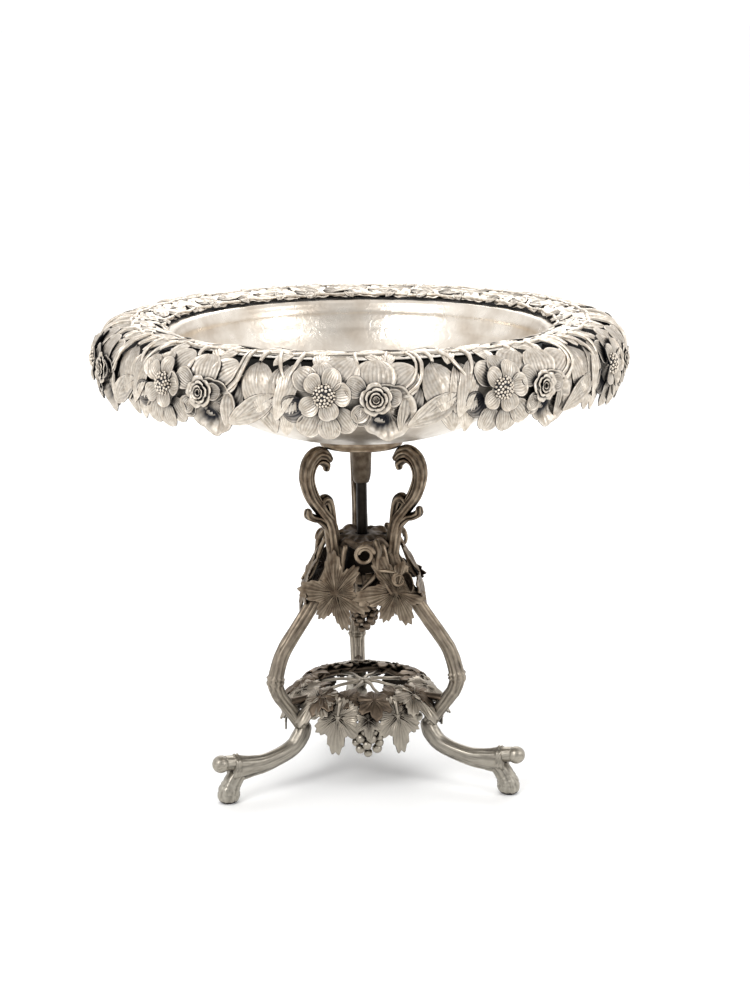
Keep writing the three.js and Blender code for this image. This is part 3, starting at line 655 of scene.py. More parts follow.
def curled_ring(centre, radius, foot, top, lobes, ruffle, phase):
    """A ring of ruffled petals standing round a flower's middle and flaring out, and the painted shade and
    tarnishing in it: dark at its foot and in its crimps.
    """
    around = np.arange(72) * math.tau / 72
    rise = np.linspace(0, 1, 8)[:, None]
    crimp = np.abs(np.sin(lobes * around / 2 + phase))
    reach_here = radius * (0.55 + 0.45 * rise ** 1.3) * (1 - 0.16 * rise * (1 - crimp) ** 2)
    z = (foot + (top - foot) * np.sin(rise * math.pi * 0.60)
         + ruffle * rise * np.sin(lobes * around * 2 + phase))
    grid = np.stack([centre[0] + reach_here * np.cos(around), centre[1] + reach_here * np.sin(around), z],
                    -1)
    return grid, 0.9 * (1 - rise) ** 1.5 + 0.5 * (1 - crimp) ** 4 * rise + 0 * around


def rose(casting):
    """Broad petals with four curled rings inside them."""
    petals(casting, ROSE, ROSE_PETALS, 0.20, 9)
    for radius, foot, top, lobes, ruffle, phase in (
            (10.4, 1.2, 4.3, 5, 0.35, 0.3), (7.3, 1.8, 5.4, 5, 0.3, 1.2), (4.5, 2.2, 6.2, 3, 0.2, 2.0),
            (2.3, 2.8, 5.6, 2, 0.1, 0)):
        grid, soot = curled_ring(ROSE, radius, foot, top, lobes, ruffle, phase)
        casting.plate(grid, 0.8, ring=True, soot=soot)


def veined_round_leaf(casting):
    """The round leaf that the rose lies on: hollow, painted black as shade in its low part below the rose,
    its lip curled up and bright.
    """
    around = np.arange(132) * math.tau / 132
    out = np.linspace(0, 1, 17)[:, None]
    edge = 17.5 + 1.1 * np.abs(np.sin(around * 4.5)) + 2.6 * np.exp(-((around - 4.75) / 0.22) ** 2)
    radius = out * edge
    ridges = 0.26 * np.cos(around * 22) * np.sin(math.pi * np.minimum(out * 1.05, 1)) ** 0.8
    z = -0.2 - 4.2 * np.sin(math.pi * np.minimum(out, 0.9) / 1.2) ** 2 + 5.0 * out ** 3 + ridges
    grid = np.stack([10.0 + radius * np.cos(around), -9.0 + radius * np.sin(around), z], -1)
    # A patch in the leaf's hollow below the rose is painted black, as the shade in it; the ridges get
    # painted shade and tarnishing between them, and the whole leaf a little.
    near = np.exp(-(((grid[..., 0] - 5.5) / 7.5) ** 2 + ((grid[..., 1] + 15.5) / 7.0) ** 2) ** 1.5)
    soot = np.clip(1.1 * near + 0.22 * (0.5 - 0.5 * np.cos(around * 22)) * (1 - out ** 4) + 0.1, 0, 1)
    casting.plate(grid, 0.9, ring=True, soot=soot)


# foot, direction, length, width, lift, slope, cup, tip, rib, vein lines
LEAVES = [
    ((41, 25), -80, 40, 24, 0.4, 2.2, -1.4, -1.2, 0.9, 10),
    ((57, 1), 210, 40, 15, 0.4, 2.2, 1.6, 0.2, 0.8, 6),
    ((-50, 25), 250, 42, 14, 1.2, 2.2, -1.4, -1.0, 0.9, 7),
    ((-57, 8), 268, 34, 15, -0.2, 1.8, -1.2, 0.2, 0.8, 7),
    ((62, 24), 258, 36, 15, -0.6, 1.6, 1.2, 0, 0.6, 7),
    ((-37, 45), -86, 27, 12, 0.8, 0.8, -1.2, -1.0, 0.6, 6),
    ((13, 46), -98, 24, 12, 0.6, 0.8, -1.2, -1.0, 0.6, 6),
    ((-4, 44), -62, 20, 9, 0.6, 0.6, -1.0, -0.8, 0.5, 4),
    ((62, 46), -112, 26, 10, 0.6, 0.8, -1.2, -1.0, 0.6, 5),
    ((30, 8), 250, 34, 15, -1.8, 1.8, 1.4, 0.6, 0.6, 6),
    ((46, 6), 286, 32, 14, -1.4, 1.6, 1.4, 0.6, 0.6, 6),
]
# leaves of the top rail, which lie along it and lap over the bowl's mouth
RAIL_LEAVES = [
    ((-60, 45), 14, 40, 13, 0.6, 1.4, -1.4, -1.0, 0.8, 4),
    ((-16, 54), 176, 34, 12, 0.4, 1.0, -1.2, -0.8, 0.8, 4),
    ((-19, 45), 12, 38, 14, 0.8, 1.6, -1.4, -1.2, 0.8, 4),
    ((30, 56), 184, 30, 11, 0.4, 1.0, 1.2, -0.6, 0.6, 4),
    ((24, 44), 16, 36, 13, 0.6, 1.6, -1.4, -1.0, 0.8, 4),
    ((60, 55), 172, 26, 12, 0.4, 1.2, 1.2, -0.6, 0.6, 4),
    ((-44, 56), 60, 13, 10, 0.8, 0.6, 1.2, -1.0, 0.4, 3),
    ((6, 57), 118, 12, 10, 0.8, 0.6, 1.2, -1.0, 0.4, 3),
    ((44, 57), 76, 12, 11, 0.8, 0.6, 1.2, -1.0, 0.4, 3),
]
# lines of x, y, height, radius that cross from the rail to the leaves
TWIGS = [
    [(29, 41, 1.0, 1.2), (32, 31, 1.8, 1.4), (33.0, 20, 2.6, 1.4), (30.5, 10, 2.6, 1.2), (22, 2, 1.6, 0.9)],
    [(25.5, 41, 0.8, 0.9), (28.2, 31, 1.6, 1.0), (29.5, 20.5, 2.2, 1.0), (27, 11.5, 2.2, 0.9),
     (20, 5, 1.2, 0.7)],
    [(52, 40, 0.6, 1.6), (55, 30, 1.0, 1.6), (59, 19, 1.4, 1.3), (63, 11, 0.8, 0.8)],
    [(-51, 41, 0.6, 1.5), (-50, 31, 1.4, 1.6), (-52, 20, 2.0, 1.3), (-55, 12, 1.8, 0.8)],
    [(-12, 41, 0.6, 1.5), (-12, 33, 0.9, 1.5), (-10, 25, 0.4, 1.2)],
    [(41, 41, 0.6, 1.5), (42, 32, 1.2, 1.6), (42, 25, 1.0, 1.2)],
    [(12, 41, 0.6, 1.3), (10, 33, 0.9, 1.3), (8, 27, 0.4, 1.0)],
]
RAIL_LOW = 39.5
RAIL_HIGH = 64.5
SECTION_HALF = 61.2
# how far hand work strays from the pattern
UNEVENNESS = 2.6
# height on the flat casting that comes to lie on the bowl's mouth
FACE_LENGTH = 66.5


def border_leaves(casting):
    """The leaves among the flowers, and those of the top rail."""
    for leaves, cols in ((LEAVES, 41), (RAIL_LEAVES, 25)):
        for at, turn, length, width, lift, slope, cup, tip, rib, vein in leaves:
            grid, soot = leaf_grid(at, turn, length, width, lift, slope, cup, tip, rim=0.35, veins=0.22,
                                   vein=vein, rib=rib, blunt=0.66, widest=0.92, rows=17, cols=cols)
            casting.plate(grid, 1.0, soot=soot)


def rail(casting):
    """The narrow top rail: a double cord on a sheet whose inner edge waves in over the mouth."""
    xs = np.linspace(-SECTION_HALF, SECTION_HALF, 62)
    for y, height, radius in ((RAIL_LOW, 0.5, 1.4), (RAIL_HIGH - 2.0, 0.8, 1.3)):
        wobble = 0.8 * np.sin(xs * math.tau / 40.8 + y)
        casting.line(np.stack([xs, y + wobble, height + 0 * xs, radius + 0 * xs, radius + 0 * xs], 1))
    ys = np.linspace(0, 1, 12)[None, :]
    strip_x = np.linspace(-SECTION_HALF, SECTION_HALF, 90)[:, None]
    top = RAIL_HIGH + 1.1 * np.sin(strip_x * math.tau / 30.6) + 0.5 * np.sin(strip_x * math.tau / 13.6)
    height = 0.3 + 0.5 * np.sin(strip_x * 0.55 + ys * 13)
    strip = np.stack([strip_x + 0 * ys, RAIL_LOW + (top - RAIL_LOW) * ys, height], -1)
    # The strip is painted a little darker in the dips of its waves, as shade.
    casting.plate(strip, 1.2, soot=0.08 + 0.08 * np.sin(strip_x * 0.55 + ys * 13 + 3))


def ground(casting):
    """The thin web behind the flowers that holds the casting together, painted dark as the shade behind
    them.
    """
    xs = np.linspace(-SECTION_HALF, SECTION_HALF, 70)[:, None]
    ys = np.linspace(-18, 15, 20)[None, :]
    height = -3.4 + 0.5 * np.sin(xs * 0.4) * np.cos(ys * 0.35)
    casting.plate(np.stack([xs + 0 * ys, ys + 0 * xs, height], -1), 1.1, soot=0.45)


def flat_section():
    """One casting of the border, flat on the bench."""
    casting = Casting()
    ground(casting)
    veined_round_leaf(casting)
    border_leaves(casting)
    rail(casting)
    for twig in TWIGS:
        rows = [(x, y, z, r, r) for x, y, z, r in twig]
        casting.line(smooth(rows, 1.5))
    casting.grow(8, across=(0, 0, 1))
    rose(casting)
    petals(casting, BEAD_FLOWER, BEAD_PETALS, 0.15, 8)
    return casting


def dome_mesh(radius):
    """The bead flower's middle, which the beads are set on."""
    casting = Casting()
    around = np.arange(28) * math.tau / 28
    rise = np.linspace(0, math.pi / 2, 9)[:, None]
    grid = np.stack([BEAD_FLOWER[0] + radius * np.sin(rise) * np.cos(around),
                     BEAD_FLOWER[1] + radius * np.sin(rise) * np.sin(around),
                     1.6 + 4.2 * np.cos(rise) + 0 * around], -1)
    # The dome is painted near black, as the shade between the beads.
    casting.plate(grid, 0.8, ring=True, soot=0.95)
    return casting.object("domes")


# ---------------------------------------------------------------- bowl
def spun_bowl():
    """The bowl's shell with its flange, closed over the sheet's thickness."""
    low, high = FLOOR_Z, LIP_Z
    wall = [[34, low + 0.6], [60, low + 4], [85, low + 12], [105, low + 25], [121, low + 43],
            [130.5, low + 59.5], [135, low + 72], [138, high - 1.4]]
    outside = smooth([[0, low, 0], [20, low, 0], *[[r, z, 0] for r, z in wall]], 2.5)[:, :2]
    tangent = np.gradient(outside, axis=0)
    tangent /= np.linalg.norm(tangent, axis=1, keepdims=True)
    inside = outside + np.stack([-tangent[:, 1], tangent[:, 0]], 1) * 1.6
    inside[:, 0] = np.maximum(inside[:, 0], 0)
    # Two raised fillets run round the wall inside.
    for height in (high - 7.5, high - 20.5):
        near = np.exp(-((inside[:, 1] - height) / 1.3) ** 2)
        inside[:, 0] -= 0.9 * near
    profile = [*outside.tolist(), [LIP_REACH, high - 1.4], [LIP_REACH, high], [136.8, high],
               *inside[::-1][1:].tolist()]
    casting = Casting()
    casting.turned(profile, 180)
    # The outside of the wall is painted black behind the border, as the shade under it, and a little dark
    # below that, as painted shade on the underside.
    outside_face = np.arange(len(casting.points[0])) < (len(outside) + 2) * 180
    casting.soot[0] = np.where(outside_face, np.where(casting.points[0][:, 2] > high - 26, 1.0, 0.16), 0.0)
    return casting


def roll_line():
    """The rim's outer line from the mouth over the crest to the lowest petals."""
    outline = [[141, -5.4], [151, -1.3], [163, 0.2], [173, -0.7], [182, -4.2], [190, -11.5],
               [FACE_RADIUS, -23.4], [FACE_RADIUS - 0.6, -36], [FACE_RADIUS - 5, -49],
               [FACE_RADIUS - 9, -57]]
    return smooth([[radius, 0, CREST_Z + drop] for radius, drop in outline], 1.5)


# ---------------------------------------------------------------- stand
def rounded(rows, foot=True, head=True):
    """Closes a line's ends with round noses: extra points whose size falls like a ball's."""
    rows = np.asarray(rows, float)
    out = [rows]
    for wanted, end, neighbour in ((foot, 0, 1), (head, -1, -2)):
        if not wanted:
            continue
        ahead = rows[end, :3] - rows[neighbour, :3]
        ahead /= np.linalg.norm(ahead)
        radius = min(rows[end, 3:5])
        nose = []
        for share in (0.35, 0.65, 0.87, 0.98):
            size = rows[end].copy()
            size[:3] += ahead * radius * share
            size[3:5] *= math.sqrt(1 - share ** 2)
            nose.append(size)
        out = [np.array(nose[::-1]), *out] if end == 0 else [*out, np.array(nose)]
    return np.vstack(out)


def ringed(rows, at_height, lift, spread, lines=(0,)):
    """Thickens a line's sizes into ridges where it passes a height."""
    rows = rows.copy()
    steps = np.linalg.norm(np.diff(rows[:, :3], axis=0), axis=1)
    travel = np.concatenate([[0], np.cumsum(steps)])
    middle = travel[np.argmin(np.abs(rows[:, 2] - at_height))]
    for line_at in lines:
        rows[:, 3:5] *= 1 + lift * np.exp(-((travel - middle - line_at) / spread) ** 2)[:, None]
    return rows


def leg_rows(points):
    """[radius, height, half width in the leg's plane, half width across] to rows of a line."""
    return [[r, 0, z, a, b] for r, z, a, b in points]


def leg_scroll():
    """The upper scroll of a leg, from the waist to the seat ring, with a shoot on each side."""
    out = SCROLL_REACH - 4.5
    top = SEAT_LOW
    casting = Casting()
    main = smooth(leg_rows([
        [24.6, WAIST_Z, 5.4, 5.8], [28.5, WAIST_Z + 23, 4.9, 5.5], [36.3, WAIST_Z + 35, 4.4, 5.2],
        [out - 4, WAIST_Z + 47, 4.3, 5.2], [out, top - 20, 4.6, 5.4], [out - 2.6, top - 8.5, 5.0, 5.6],
        [out - 9.5, top - 2.5, 5.2, 5.6], [out - 16, top - 3.8, 4.4, 5.0],
        [out - 19.5, top - 7.5, 3.2, 4.4],
    ]), 1.2)
    casting.line(rounded(main, foot=False), 8, 0.09)
    inner = smooth(leg_rows([
        [33.5, WAIST_Z + 37, 1.6, 3.4], [out - 8.2, WAIST_Z + 49, 1.9, 3.6],
        [out - 4.6, top - 20, 2.0, 3.8], [out - 7.2, top - 11, 2.3, 4.0],
        [out - 12.5, top - 8.4, 2.6, 4.2], [out - 17.5, top - 11.5, 3.0, 4.6],
        [out - 17.8, top - 14.5, 2.4, 3.8],
    ]), 1.2)
    casting.line(rounded(inner), 4, 0.12)
    # The shoot towards the axis ends in a hood, and the one away from it in a curled leaf.
    casting.line(rounded(smooth(leg_rows([
        [25.6, WAIST_Z + 10, 3.4, 4.4], [26.6, WAIST_Z + 24, 3.2, 4.2], [27.8, WAIST_Z + 35, 3.2, 4.2],
        [30.0, WAIST_Z + 41.5, 3.6, 4.6], [34.0, WAIST_Z + 43.5, 3.8, 4.9],
        [36.6, WAIST_Z + 40.5, 3.0, 4.4],
    ]), 1.2), foot=False), 5, 0.13)
    casting.line(rounded(smooth(leg_rows([
        [26.4, WAIST_Z + 11, 3.4, 4.4], [31.0, WAIST_Z + 22, 3.0, 4.0], [37.5, WAIST_Z + 28.5, 2.8, 4.0],
        [43.0, WAIST_Z + 30.5, 2.9, 4.4], [47.0, WAIST_Z + 33.0, 2.9, 4.6],
        [47.4, WAIST_Z + 36.4, 2.2, 3.8],
    ]), 1.2), foot=False), 5, 0.13)
    casting.grow(56, bark=0.7, bark_spacing=1.3)
    return casting


def leg_bow():
    """The long bent branch of a leg, with a ringed knot where it reaches out furthest."""
    knot = KNOT_REACH - 6.4
    casting = Casting()
    rows = smooth(leg_rows([
        [24.8, WAIST_Z - 0.6, 5.3, 5.7], [29, WAIST_Z - 12, 5.3, 5.7], [37, WAIST_Z - 24.5, 5.2, 5.6],
        [51.5, WAIST_Z - 43.5, 5.2, 5.6], [64, WAIST_Z - 58.5, 5.2, 5.6], [73, WAIST_Z - 71.5, 5.3, 5.6],
        [knot, WAIST_Z - 89.5, 5.6, 5.9], [knot - 2.0, WAIST_Z - 99.5, 5.3, 5.6],
        [72, WAIST_Z - 106.5, 5.2, 5.5], [63.5, WAIST_Z - 118, 5.3, 5.6], [57, WAIST_Z - 127, 5.4, 5.7],
    ]), 0.9)
    rows = ringed(rows, WAIST_Z - 89.5, 0.22, 1.1, lines=(-1.7, 1.7))
    casting.line(rounded(rows), 9, 0.05)
    casting.grow(64, bark=1.2, bark_spacing=1.3)
    return casting


def leg_foot():
    """A leg's foot: a knuckle, a shin that flares, a ball on its end and a pad on the floor."""
    out = FOOT_REACH - 12.8
    casting = Casting()
    shin = smooth(leg_rows([
        [54.5, 44.5, 5.6, 6.0], [57.5, 38.5, 6.4, 6.6], [64, 31.5, 6.2, 6.4], [75, 27.0, 6.2, 6.2],
        [90, 24.0, 6.8, 6.3], [102, 24.0, 8.0, 6.5], [110, 24.4, 9.4, 6.8], [115.5, 25.0, 10.4, 7.0],
        [118.0, 25.4, 10.0, 6.8],
    ]), 0.8)
    # A ridge goes round the flared end before the ball and the pad.
    travel = shin[:, 0]
    for ridge in (114.2, 117.2):
        shin[:, 3:5] *= 1 + 0.10 * np.exp(-((travel - ridge) / 0.8) ** 2)[:, None]
    casting.line(rounded(shin, foot=True, head=False), 7, 0.05)
    neck = leg_rows([[116, 29.6, 5.8, 5.8], [119.5, 30.4, 5.6, 5.6], [124, 31.0, 5.6, 5.6]])
    casting.line(smooth(neck, 0.8))
    ball_radius = 6.5
    ball = [(ball_radius * math.sin(a), 0.05 + ball_radius * math.cos(a))
            for a in np.linspace(-math.pi / 2, math.pi / 2, 15)]
    casting.line([[out + 4.9 + along, 0, 31.0, size, size] for along, size in ball])
    # The heel runs down into a rounded hoof pad with fine creases.
    heel = smooth(leg_rows([
        [112.5, 21, 6.6, 6.2], [115.5, 17.5, 6.8, 6.4], [118.5, 13, 7.3, 6.9], [out - 1.6, 8.6, 8.3, 7.6],
        [out - 1.0, 4.8, 8.4, 7.8], [out - 0.8, 1.8, 7.2, 7.0], [out - 0.8, 0.05, 4.4, 4.4],
    ]), 0.6)
    for height in (13.5, 10.5, 7.5):
        heel = ringed(heel, height, -0.05, 0.5)
    casting.line(heel, 9, 0.03)
    casting.grow(56, bark=0.8, bark_spacing=1.4)
    return casting


def seat_ring():
    """The moulded ring that the bowl sits on."""
    width = 7
    inner, rim, low, top = SEAT_RADIUS - width, SEAT_RADIUS, SEAT_LOW, SEAT_TOP
    casting = Casting()
    casting.turned([[inner, low], [rim - 0.8, low], [rim - 0.1, low + 0.8], [rim - 0.2, low + 2],
                    [rim - 0.9, low + 2.8], [rim - 1.1, low + 4.5], [rim - 0.6, low + 6],
                    [rim, low + 6.8], [rim - 0.1, top - 0.3], [rim - 0.8, top],
                    [inner + 0.5, top], [inner, top - 0.5]], 120)
    return casting


def boss():
    """The tapered boss under the bowl, bored for the rod."""
    casting = Casting()
    top, low, wide = BOSS_TOP, BOSS_LOW, BOSS_RADIUS + 0.7
    bore = ROD_RADIUS + ROD_ROOM
    casting.turned([[0, top], [wide, top], [wide, top - 1.4], [wide - 0.7, top - 2],
                    [wide - 0.7, top - 3.2], [wide - 0.3, top - 4], [wide - 0.45, top - 18],
                    [wide - 0.9, low + 7],
                    [wide - 1.5, low + 3.2], [wide - 2.1, low + 1.2], [wide - 2.6, low], [bore, low],
                    [bore, low + 15.8], [0, low + 15.8]], 72)
    # The boss is painted darker towards its bottom.
    casting.soot[0] = np.clip((top - 8 - casting.points[0][:, 2]) / 40 + 0.26, 0.1, 0.65)
    return casting


def rod():
    """The tie rod, cut with grooves at thread pitch on its low end. A helix is too fine to see here."""
    casting = Casting()
    rim, first = ROD_RADIUS, ROD_LOW + 0.6
    thread = []
    turns = int(28 / THREAD_PITCH)
    for i in range(turns):
        thread += [[rim, first + i * THREAD_PITCH], [rim - 0.5, first + (i + 0.5) * THREAD_PITCH]]
    casting.turned([[0, ROD_LOW], [rim - 0.6, ROD_LOW], *thread, [rim, first + turns * THREAD_PITCH],
                    [rim - 0.15, ROD_LOW + 45], [rim, ROD_LOW + 62], [rim - 0.1, ROD_LOW + 80],
                    [rim, ROD_TOP - 0.5], [rim - 0.4, ROD_TOP], [0, ROD_TOP]], 48)
    return casting


def washer():
    """The plate under the hub, with its edges eased."""
    low, high = corners("tie_washer")
    bore, rim = ROD_RADIUS + ROD_ROOM, reach("tie_washer")
    casting = Casting()
    casting.turned([[bore, low.z], [rim - 0.4, low.z], [rim, low.z + 0.4], [rim, high.z - 0.4],
                    [rim - 0.4, high.z], [bore, high.z]], 64)
    return casting


def nut():
    """A hexagonal nut with its corners turned off."""
    low, high = corners("tie_nut")
    bore, rim = ROD_RADIUS + ROD_ROOM, reach("tie_nut")

    def hexagon(grid, angles):
        flat = rim * math.cos(math.pi / 6) / np.cos((angles + math.pi / 6) % (math.pi / 3) - math.pi / 6)
        radius = np.linalg.norm(grid[..., :2], axis=2)
        limit = np.where(radius > bore + 0.1, np.minimum(radius, flat), radius)
        grid[..., :2] *= (limit / np.maximum(radius, 1e-6))[..., None]
        return grid

    casting = Casting()
    casting.turned([[bore, low.z], [rim - 1.3, low.z], [rim, low.z + 1.1], [rim, high.z - 1.1],
                    [rim - 1.3, high.z], [bore, high.z]], 72, hexagon)
    return casting


def collar():
    """The hub round the rod and the ruffled leafy collar on it."""
    def ruffle(grid, angles):
        radius = np.linalg.norm(grid[..., :2], axis=2)
        share = np.clip((radius - 15) / (COLLAR_RADIUS - 15), 0, 1)
        swell = 1 + share * (0.05 * np.cos(9 * angles + 0.6) + 0.03 * np.cos(15 * angles) - 0.05)
        grid[..., :2] *= swell[..., None]
        grid[..., 2] += share * (2.3 * np.cos(6 * angles + 0.5) + 1.2 * np.sin(11 * angles) - 1.0)
        folds = np.exp(-((radius - 17) / 4.5) ** 2) * (grid[..., 2] > top - 6)
        grid[..., 2] += folds * (1.8 * np.cos(5 * angles + 2) + 0.9 * np.cos(13 * angles))
        return grid

    bore = ROD_RADIUS + ROD_ROOM
    wide = COLLAR_RADIUS
    top = COLLAR_TOP
    outline = [[bore, HUB_LOW + 0.5], [14.5, HUB_LOW + 0.5], [15.6, HUB_LOW + 3], [13.4, HUB_LOW + 9],
               [13, HUB_LOW + 15], [16, top - 8.5], [wide - 4, top - 8], [wide - 0.6, top - 5.5],
               [wide - 0.4, top - 2.8], [wide - 3, top - 1.2], [wide - 7, top - 3.4], [14, top - 3],
               [9, top - 1.2], [bore, top - 1.6]]
    casting = Casting()
    casting.turned(smooth([[radius, z, 0] for radius, z in outline], 1.0)[:, :2], 144, ruffle)
    # The collar is painted dark under its brim and further in, as shade, and lighter on its top, where the
    # light falls.
    depth = (wide - 2.5 - np.linalg.norm(casting.points[0][:, :2], axis=1)) / 5
    lit = casting.points[0][:, 2] > top - 4
    casting.soot[0] = np.where(lit, np.clip(0.15 + depth * 0.2, 0.1, 0.5),
                               np.clip(0.25 + depth, 0.1, 0.92))
    return casting


# ---------------------------------------------------------------- vine leaves, tendrils and grapes
def vine_leaf(lobes, size, heart=0.52, droop=0.0, teeth=38, tooth=0.06, dish=0.0, fine=201, dull=0.12):
    """A lobed, toothed leaf flat in XY round the point where its veins meet, with raised veins.

    Lobes are (direction in degrees, length), heart is how far the leaf reaches between them, and dull
    how dark the whole leaf is painted, on top of the painted shade and tarnishing in its vein valleys.
    The grid is polar, with its first row at that point.
    """
    around = np.linspace(-math.pi, math.pi, fine)[:-1]
    edge = np.full_like(around, heart)
    rib = np.zeros_like(around)
    for degrees, length in lobes:
        off = (around - math.radians(degrees) + math.pi) % math.tau - math.pi
        edge = np.maximum(edge, heart * 0.9 + (length - heart * 0.9) * np.exp(-(np.abs(off) / 0.37) ** 2.2))
        rib = np.maximum(rib, np.exp(-(off / 0.055) ** 2))
    saw = np.abs((around * teeth / math.tau) % 1 - 0.5) * 2
    edge = edge * (1 - tooth + 2 * tooth * saw)
    out = np.linspace(0, 1, fine // 10)[:, None] ** 0.85
    radius = out * edge * size
    comb = np.cos(around * (fine // 5))
    ridges = 0.30 * comb * np.sin(math.pi * out) ** 1.6
    z = (1.15 * rib * (1 - out) * np.minimum(1, out * 6) + ridges
         - droop * (radius / size) ** 2 * size + dish * np.cos(2 * around) * out ** 2 * size * 0.3
         + 0.9 * np.cos(7 * around + 1) * out ** 2)
    # Painted shade and tarnishing: darkest in the vein valleys, less towards the edge and on the ribs, with
    # dull spread all over.
    valley = np.sqrt(0.5 - 0.5 * comb) * np.minimum(1, out * 1.6)
    hollow = (dull + (0.18 + 0.6 * dull) * valley) * (1 - 0.8 * out ** 8) * (1 - rib * (1 - out))
    soot = np.clip(hollow + 0.05 * (1 - out), 0, 1)
    return np.stack([radius * np.cos(around), radius * np.sin(around), z], -1), soot


GRAPE_LOBES = [(108, 1.0), (58, 0.78), (-18, 0.87), (-68, 0.84), (-125, 0.72), (180, 1.03)]


def set_leaf(casting, leaf, at, down, face, thick=1.3):
    """Places a flat leaf: its -Y side points down, its +Z side faces out."""
    grid, soot = leaf
    face = Vector(face).normalized()
    up = -Vector(down).normalized()
    right = up.cross(face).normalized()
    up = face.cross(right)
    axes = np.array([right, up, face])
    casting.plate(grid @ axes + np.array(at), thick, ring=True, soot=soot)


def waist_leaf():
    """A grape leaf hung outside a leg, on a stalk from the collar. X points outwards."""
    casting = Casting()
    grid = vine_leaf(GRAPE_LOBES, 32.5, heart=0.45, droop=0.14, dish=0.1, fine=241, dull=0.25)
    set_leaf(casting, grid, (44.5, 0, 152.5), (0.28, 0, -1), (1, 0, 0.30))
    stalk = [[28.0, 0, 184, 1.9, 1.9], [31, 0, 178, 1.8, 1.8], [34.5, 0, 168, 1.7, 1.7],
             [38.5, 0, 158, 1.6, 1.6], [43.0, 0, 152, 1.2, 1.2]]
    casting.line(rounded(smooth(stalk, 1.5)))
    casting.grow(16, across=(0, 1, 0))
    return casting


def spiral(centre, outer, inner, turns, start, radius_start, radius_end, x):
    """A flat coil facing out along X: rows of x, y, z, half width, half width."""
    count = int(40 * turns)
    share = np.linspace(0, 1, count)
    angle = math.radians(start) + share * turns * math.tau
    reach_here = outer + (inner - outer) * share
    size = radius_start + (radius_end - radius_start) * share
    return np.stack([x + 0 * share, centre[0] + reach_here * np.cos(angle),
                     centre[1] + reach_here * np.sin(angle), size, size], 1)


def waist_tendril(full):
    """A stem that hangs from the collar and forks, with a thick curl. The full one has a bud and a coil."""
    casting = Casting()
    stem = [[28.5, 8.5, 188.5, 2.2, 2.2], [31.5, 10.0, 183, 2.3, 2.3], [33.5, 9.0, 174, 2.1, 2.1],
            [35.5, 8.6, 166, 1.9, 1.9]]
    casting.line(rounded(smooth(stem, 1.2)), 4, 0.08)
    forks = [[[35.5, 8.6, 166, 1.8, 1.8], [38.5, 3.0, 160.5, 1.4, 1.4], [41, -5.0, 153.5, 0.9, 0.9]],
             [[35.5, 8.6, 166, 1.8, 1.8], [39, 13.5, 159.5, 1.4, 1.4], [42, 18.5, 152.5, 0.9, 0.9]],
             [[35, 9.5, 168, 1.6, 1.6], [37.5, 16, 168.5, 1.4, 1.4], [39, 21.5, 168.0, 1.3, 1.3]]]
    for fork in forks if full else forks[:2]:
        casting.line(rounded(smooth(fork, 1.2)))
    casting.line(rounded(spiral((-0.6, 180.5), 7.2, 4.2, 1.4, 15, 1.6, 1.2, 35.5)))
    if full:
        casting.line(rounded(spiral((24.5, 162.5), 4.9, 3.2, 1.3, 110, 1.3, 0.9, 40.5)))
    casting.grow(18, across=(1, 0, 0))
    # A torn web of leaf under the fork, and a curled bud beside the small coil.
    web = vine_leaf([(-90, 1.0), (-40, 0.9), (-140, 0.9), (20, 0.6), (160, 0.6)], 14, droop=0.2, dull=0.3)
    set_leaf(casting, web, (37.0, 6.5, 157), (0.3, 0, -1), (1, 0, 0.3), 1.1)
    if full:
        bud, soot = leaf_grid((0, 0), 0, 15, 14, 0, 2.0, 4.0, 3.0, rim=0.4, veins=0.25, vein=5)
        bud = np.stack([40 + bud[..., 2], 31 + bud[..., 0] * 0.55 - 4,
                        166 - bud[..., 1] - bud[..., 0] * 0.45], -1)
        casting.plate(bud, 1.2, soot=soot)
    return casting


def bunch_rows(at, rows, berry, spread, pitch):
    """Berries in rings that hang from a point: counts by row, from the top."""
    out = []
    for row, count in enumerate(rows):
        wide = spread * math.sin(math.pi * (row + 1.1) / (len(rows) + 1.2)) if count > 1 else 0
        for i in range(count):
            turn = math.tau * (i + 0.5 * (row % 2) + 0.13 * row) / count
            out.append([at[0] + wide * math.cos(turn), at[1] + wide * math.sin(turn),
                        at[2] - pitch * row, berry])
    return out


def waist_grapes(seed):
    """A bunch that hangs inside the waist leaves."""
    casting = Casting()
    top = corners("waist_grapes_2")[1].z
    stalk = [[12, 0, top, 1.7, 1.7], [16, 0, top - 5, 1.6, 1.6], [19, 0, top - 16, 1.2, 1.2]]
    casting.line(rounded(smooth(stalk, 1.5), foot=False))
    casting.grow(12)
    # The bunch that hangs clear in front is the long one.
    rows = [4, 7, 8, 8, 6, 4, 2] if seed == 1 else [4, 6, 5, 3]
    casting.berries(bunch_rows((19, 0, top - 15), rows, 3.1, 8.2, 4.2), seed)
    return casting


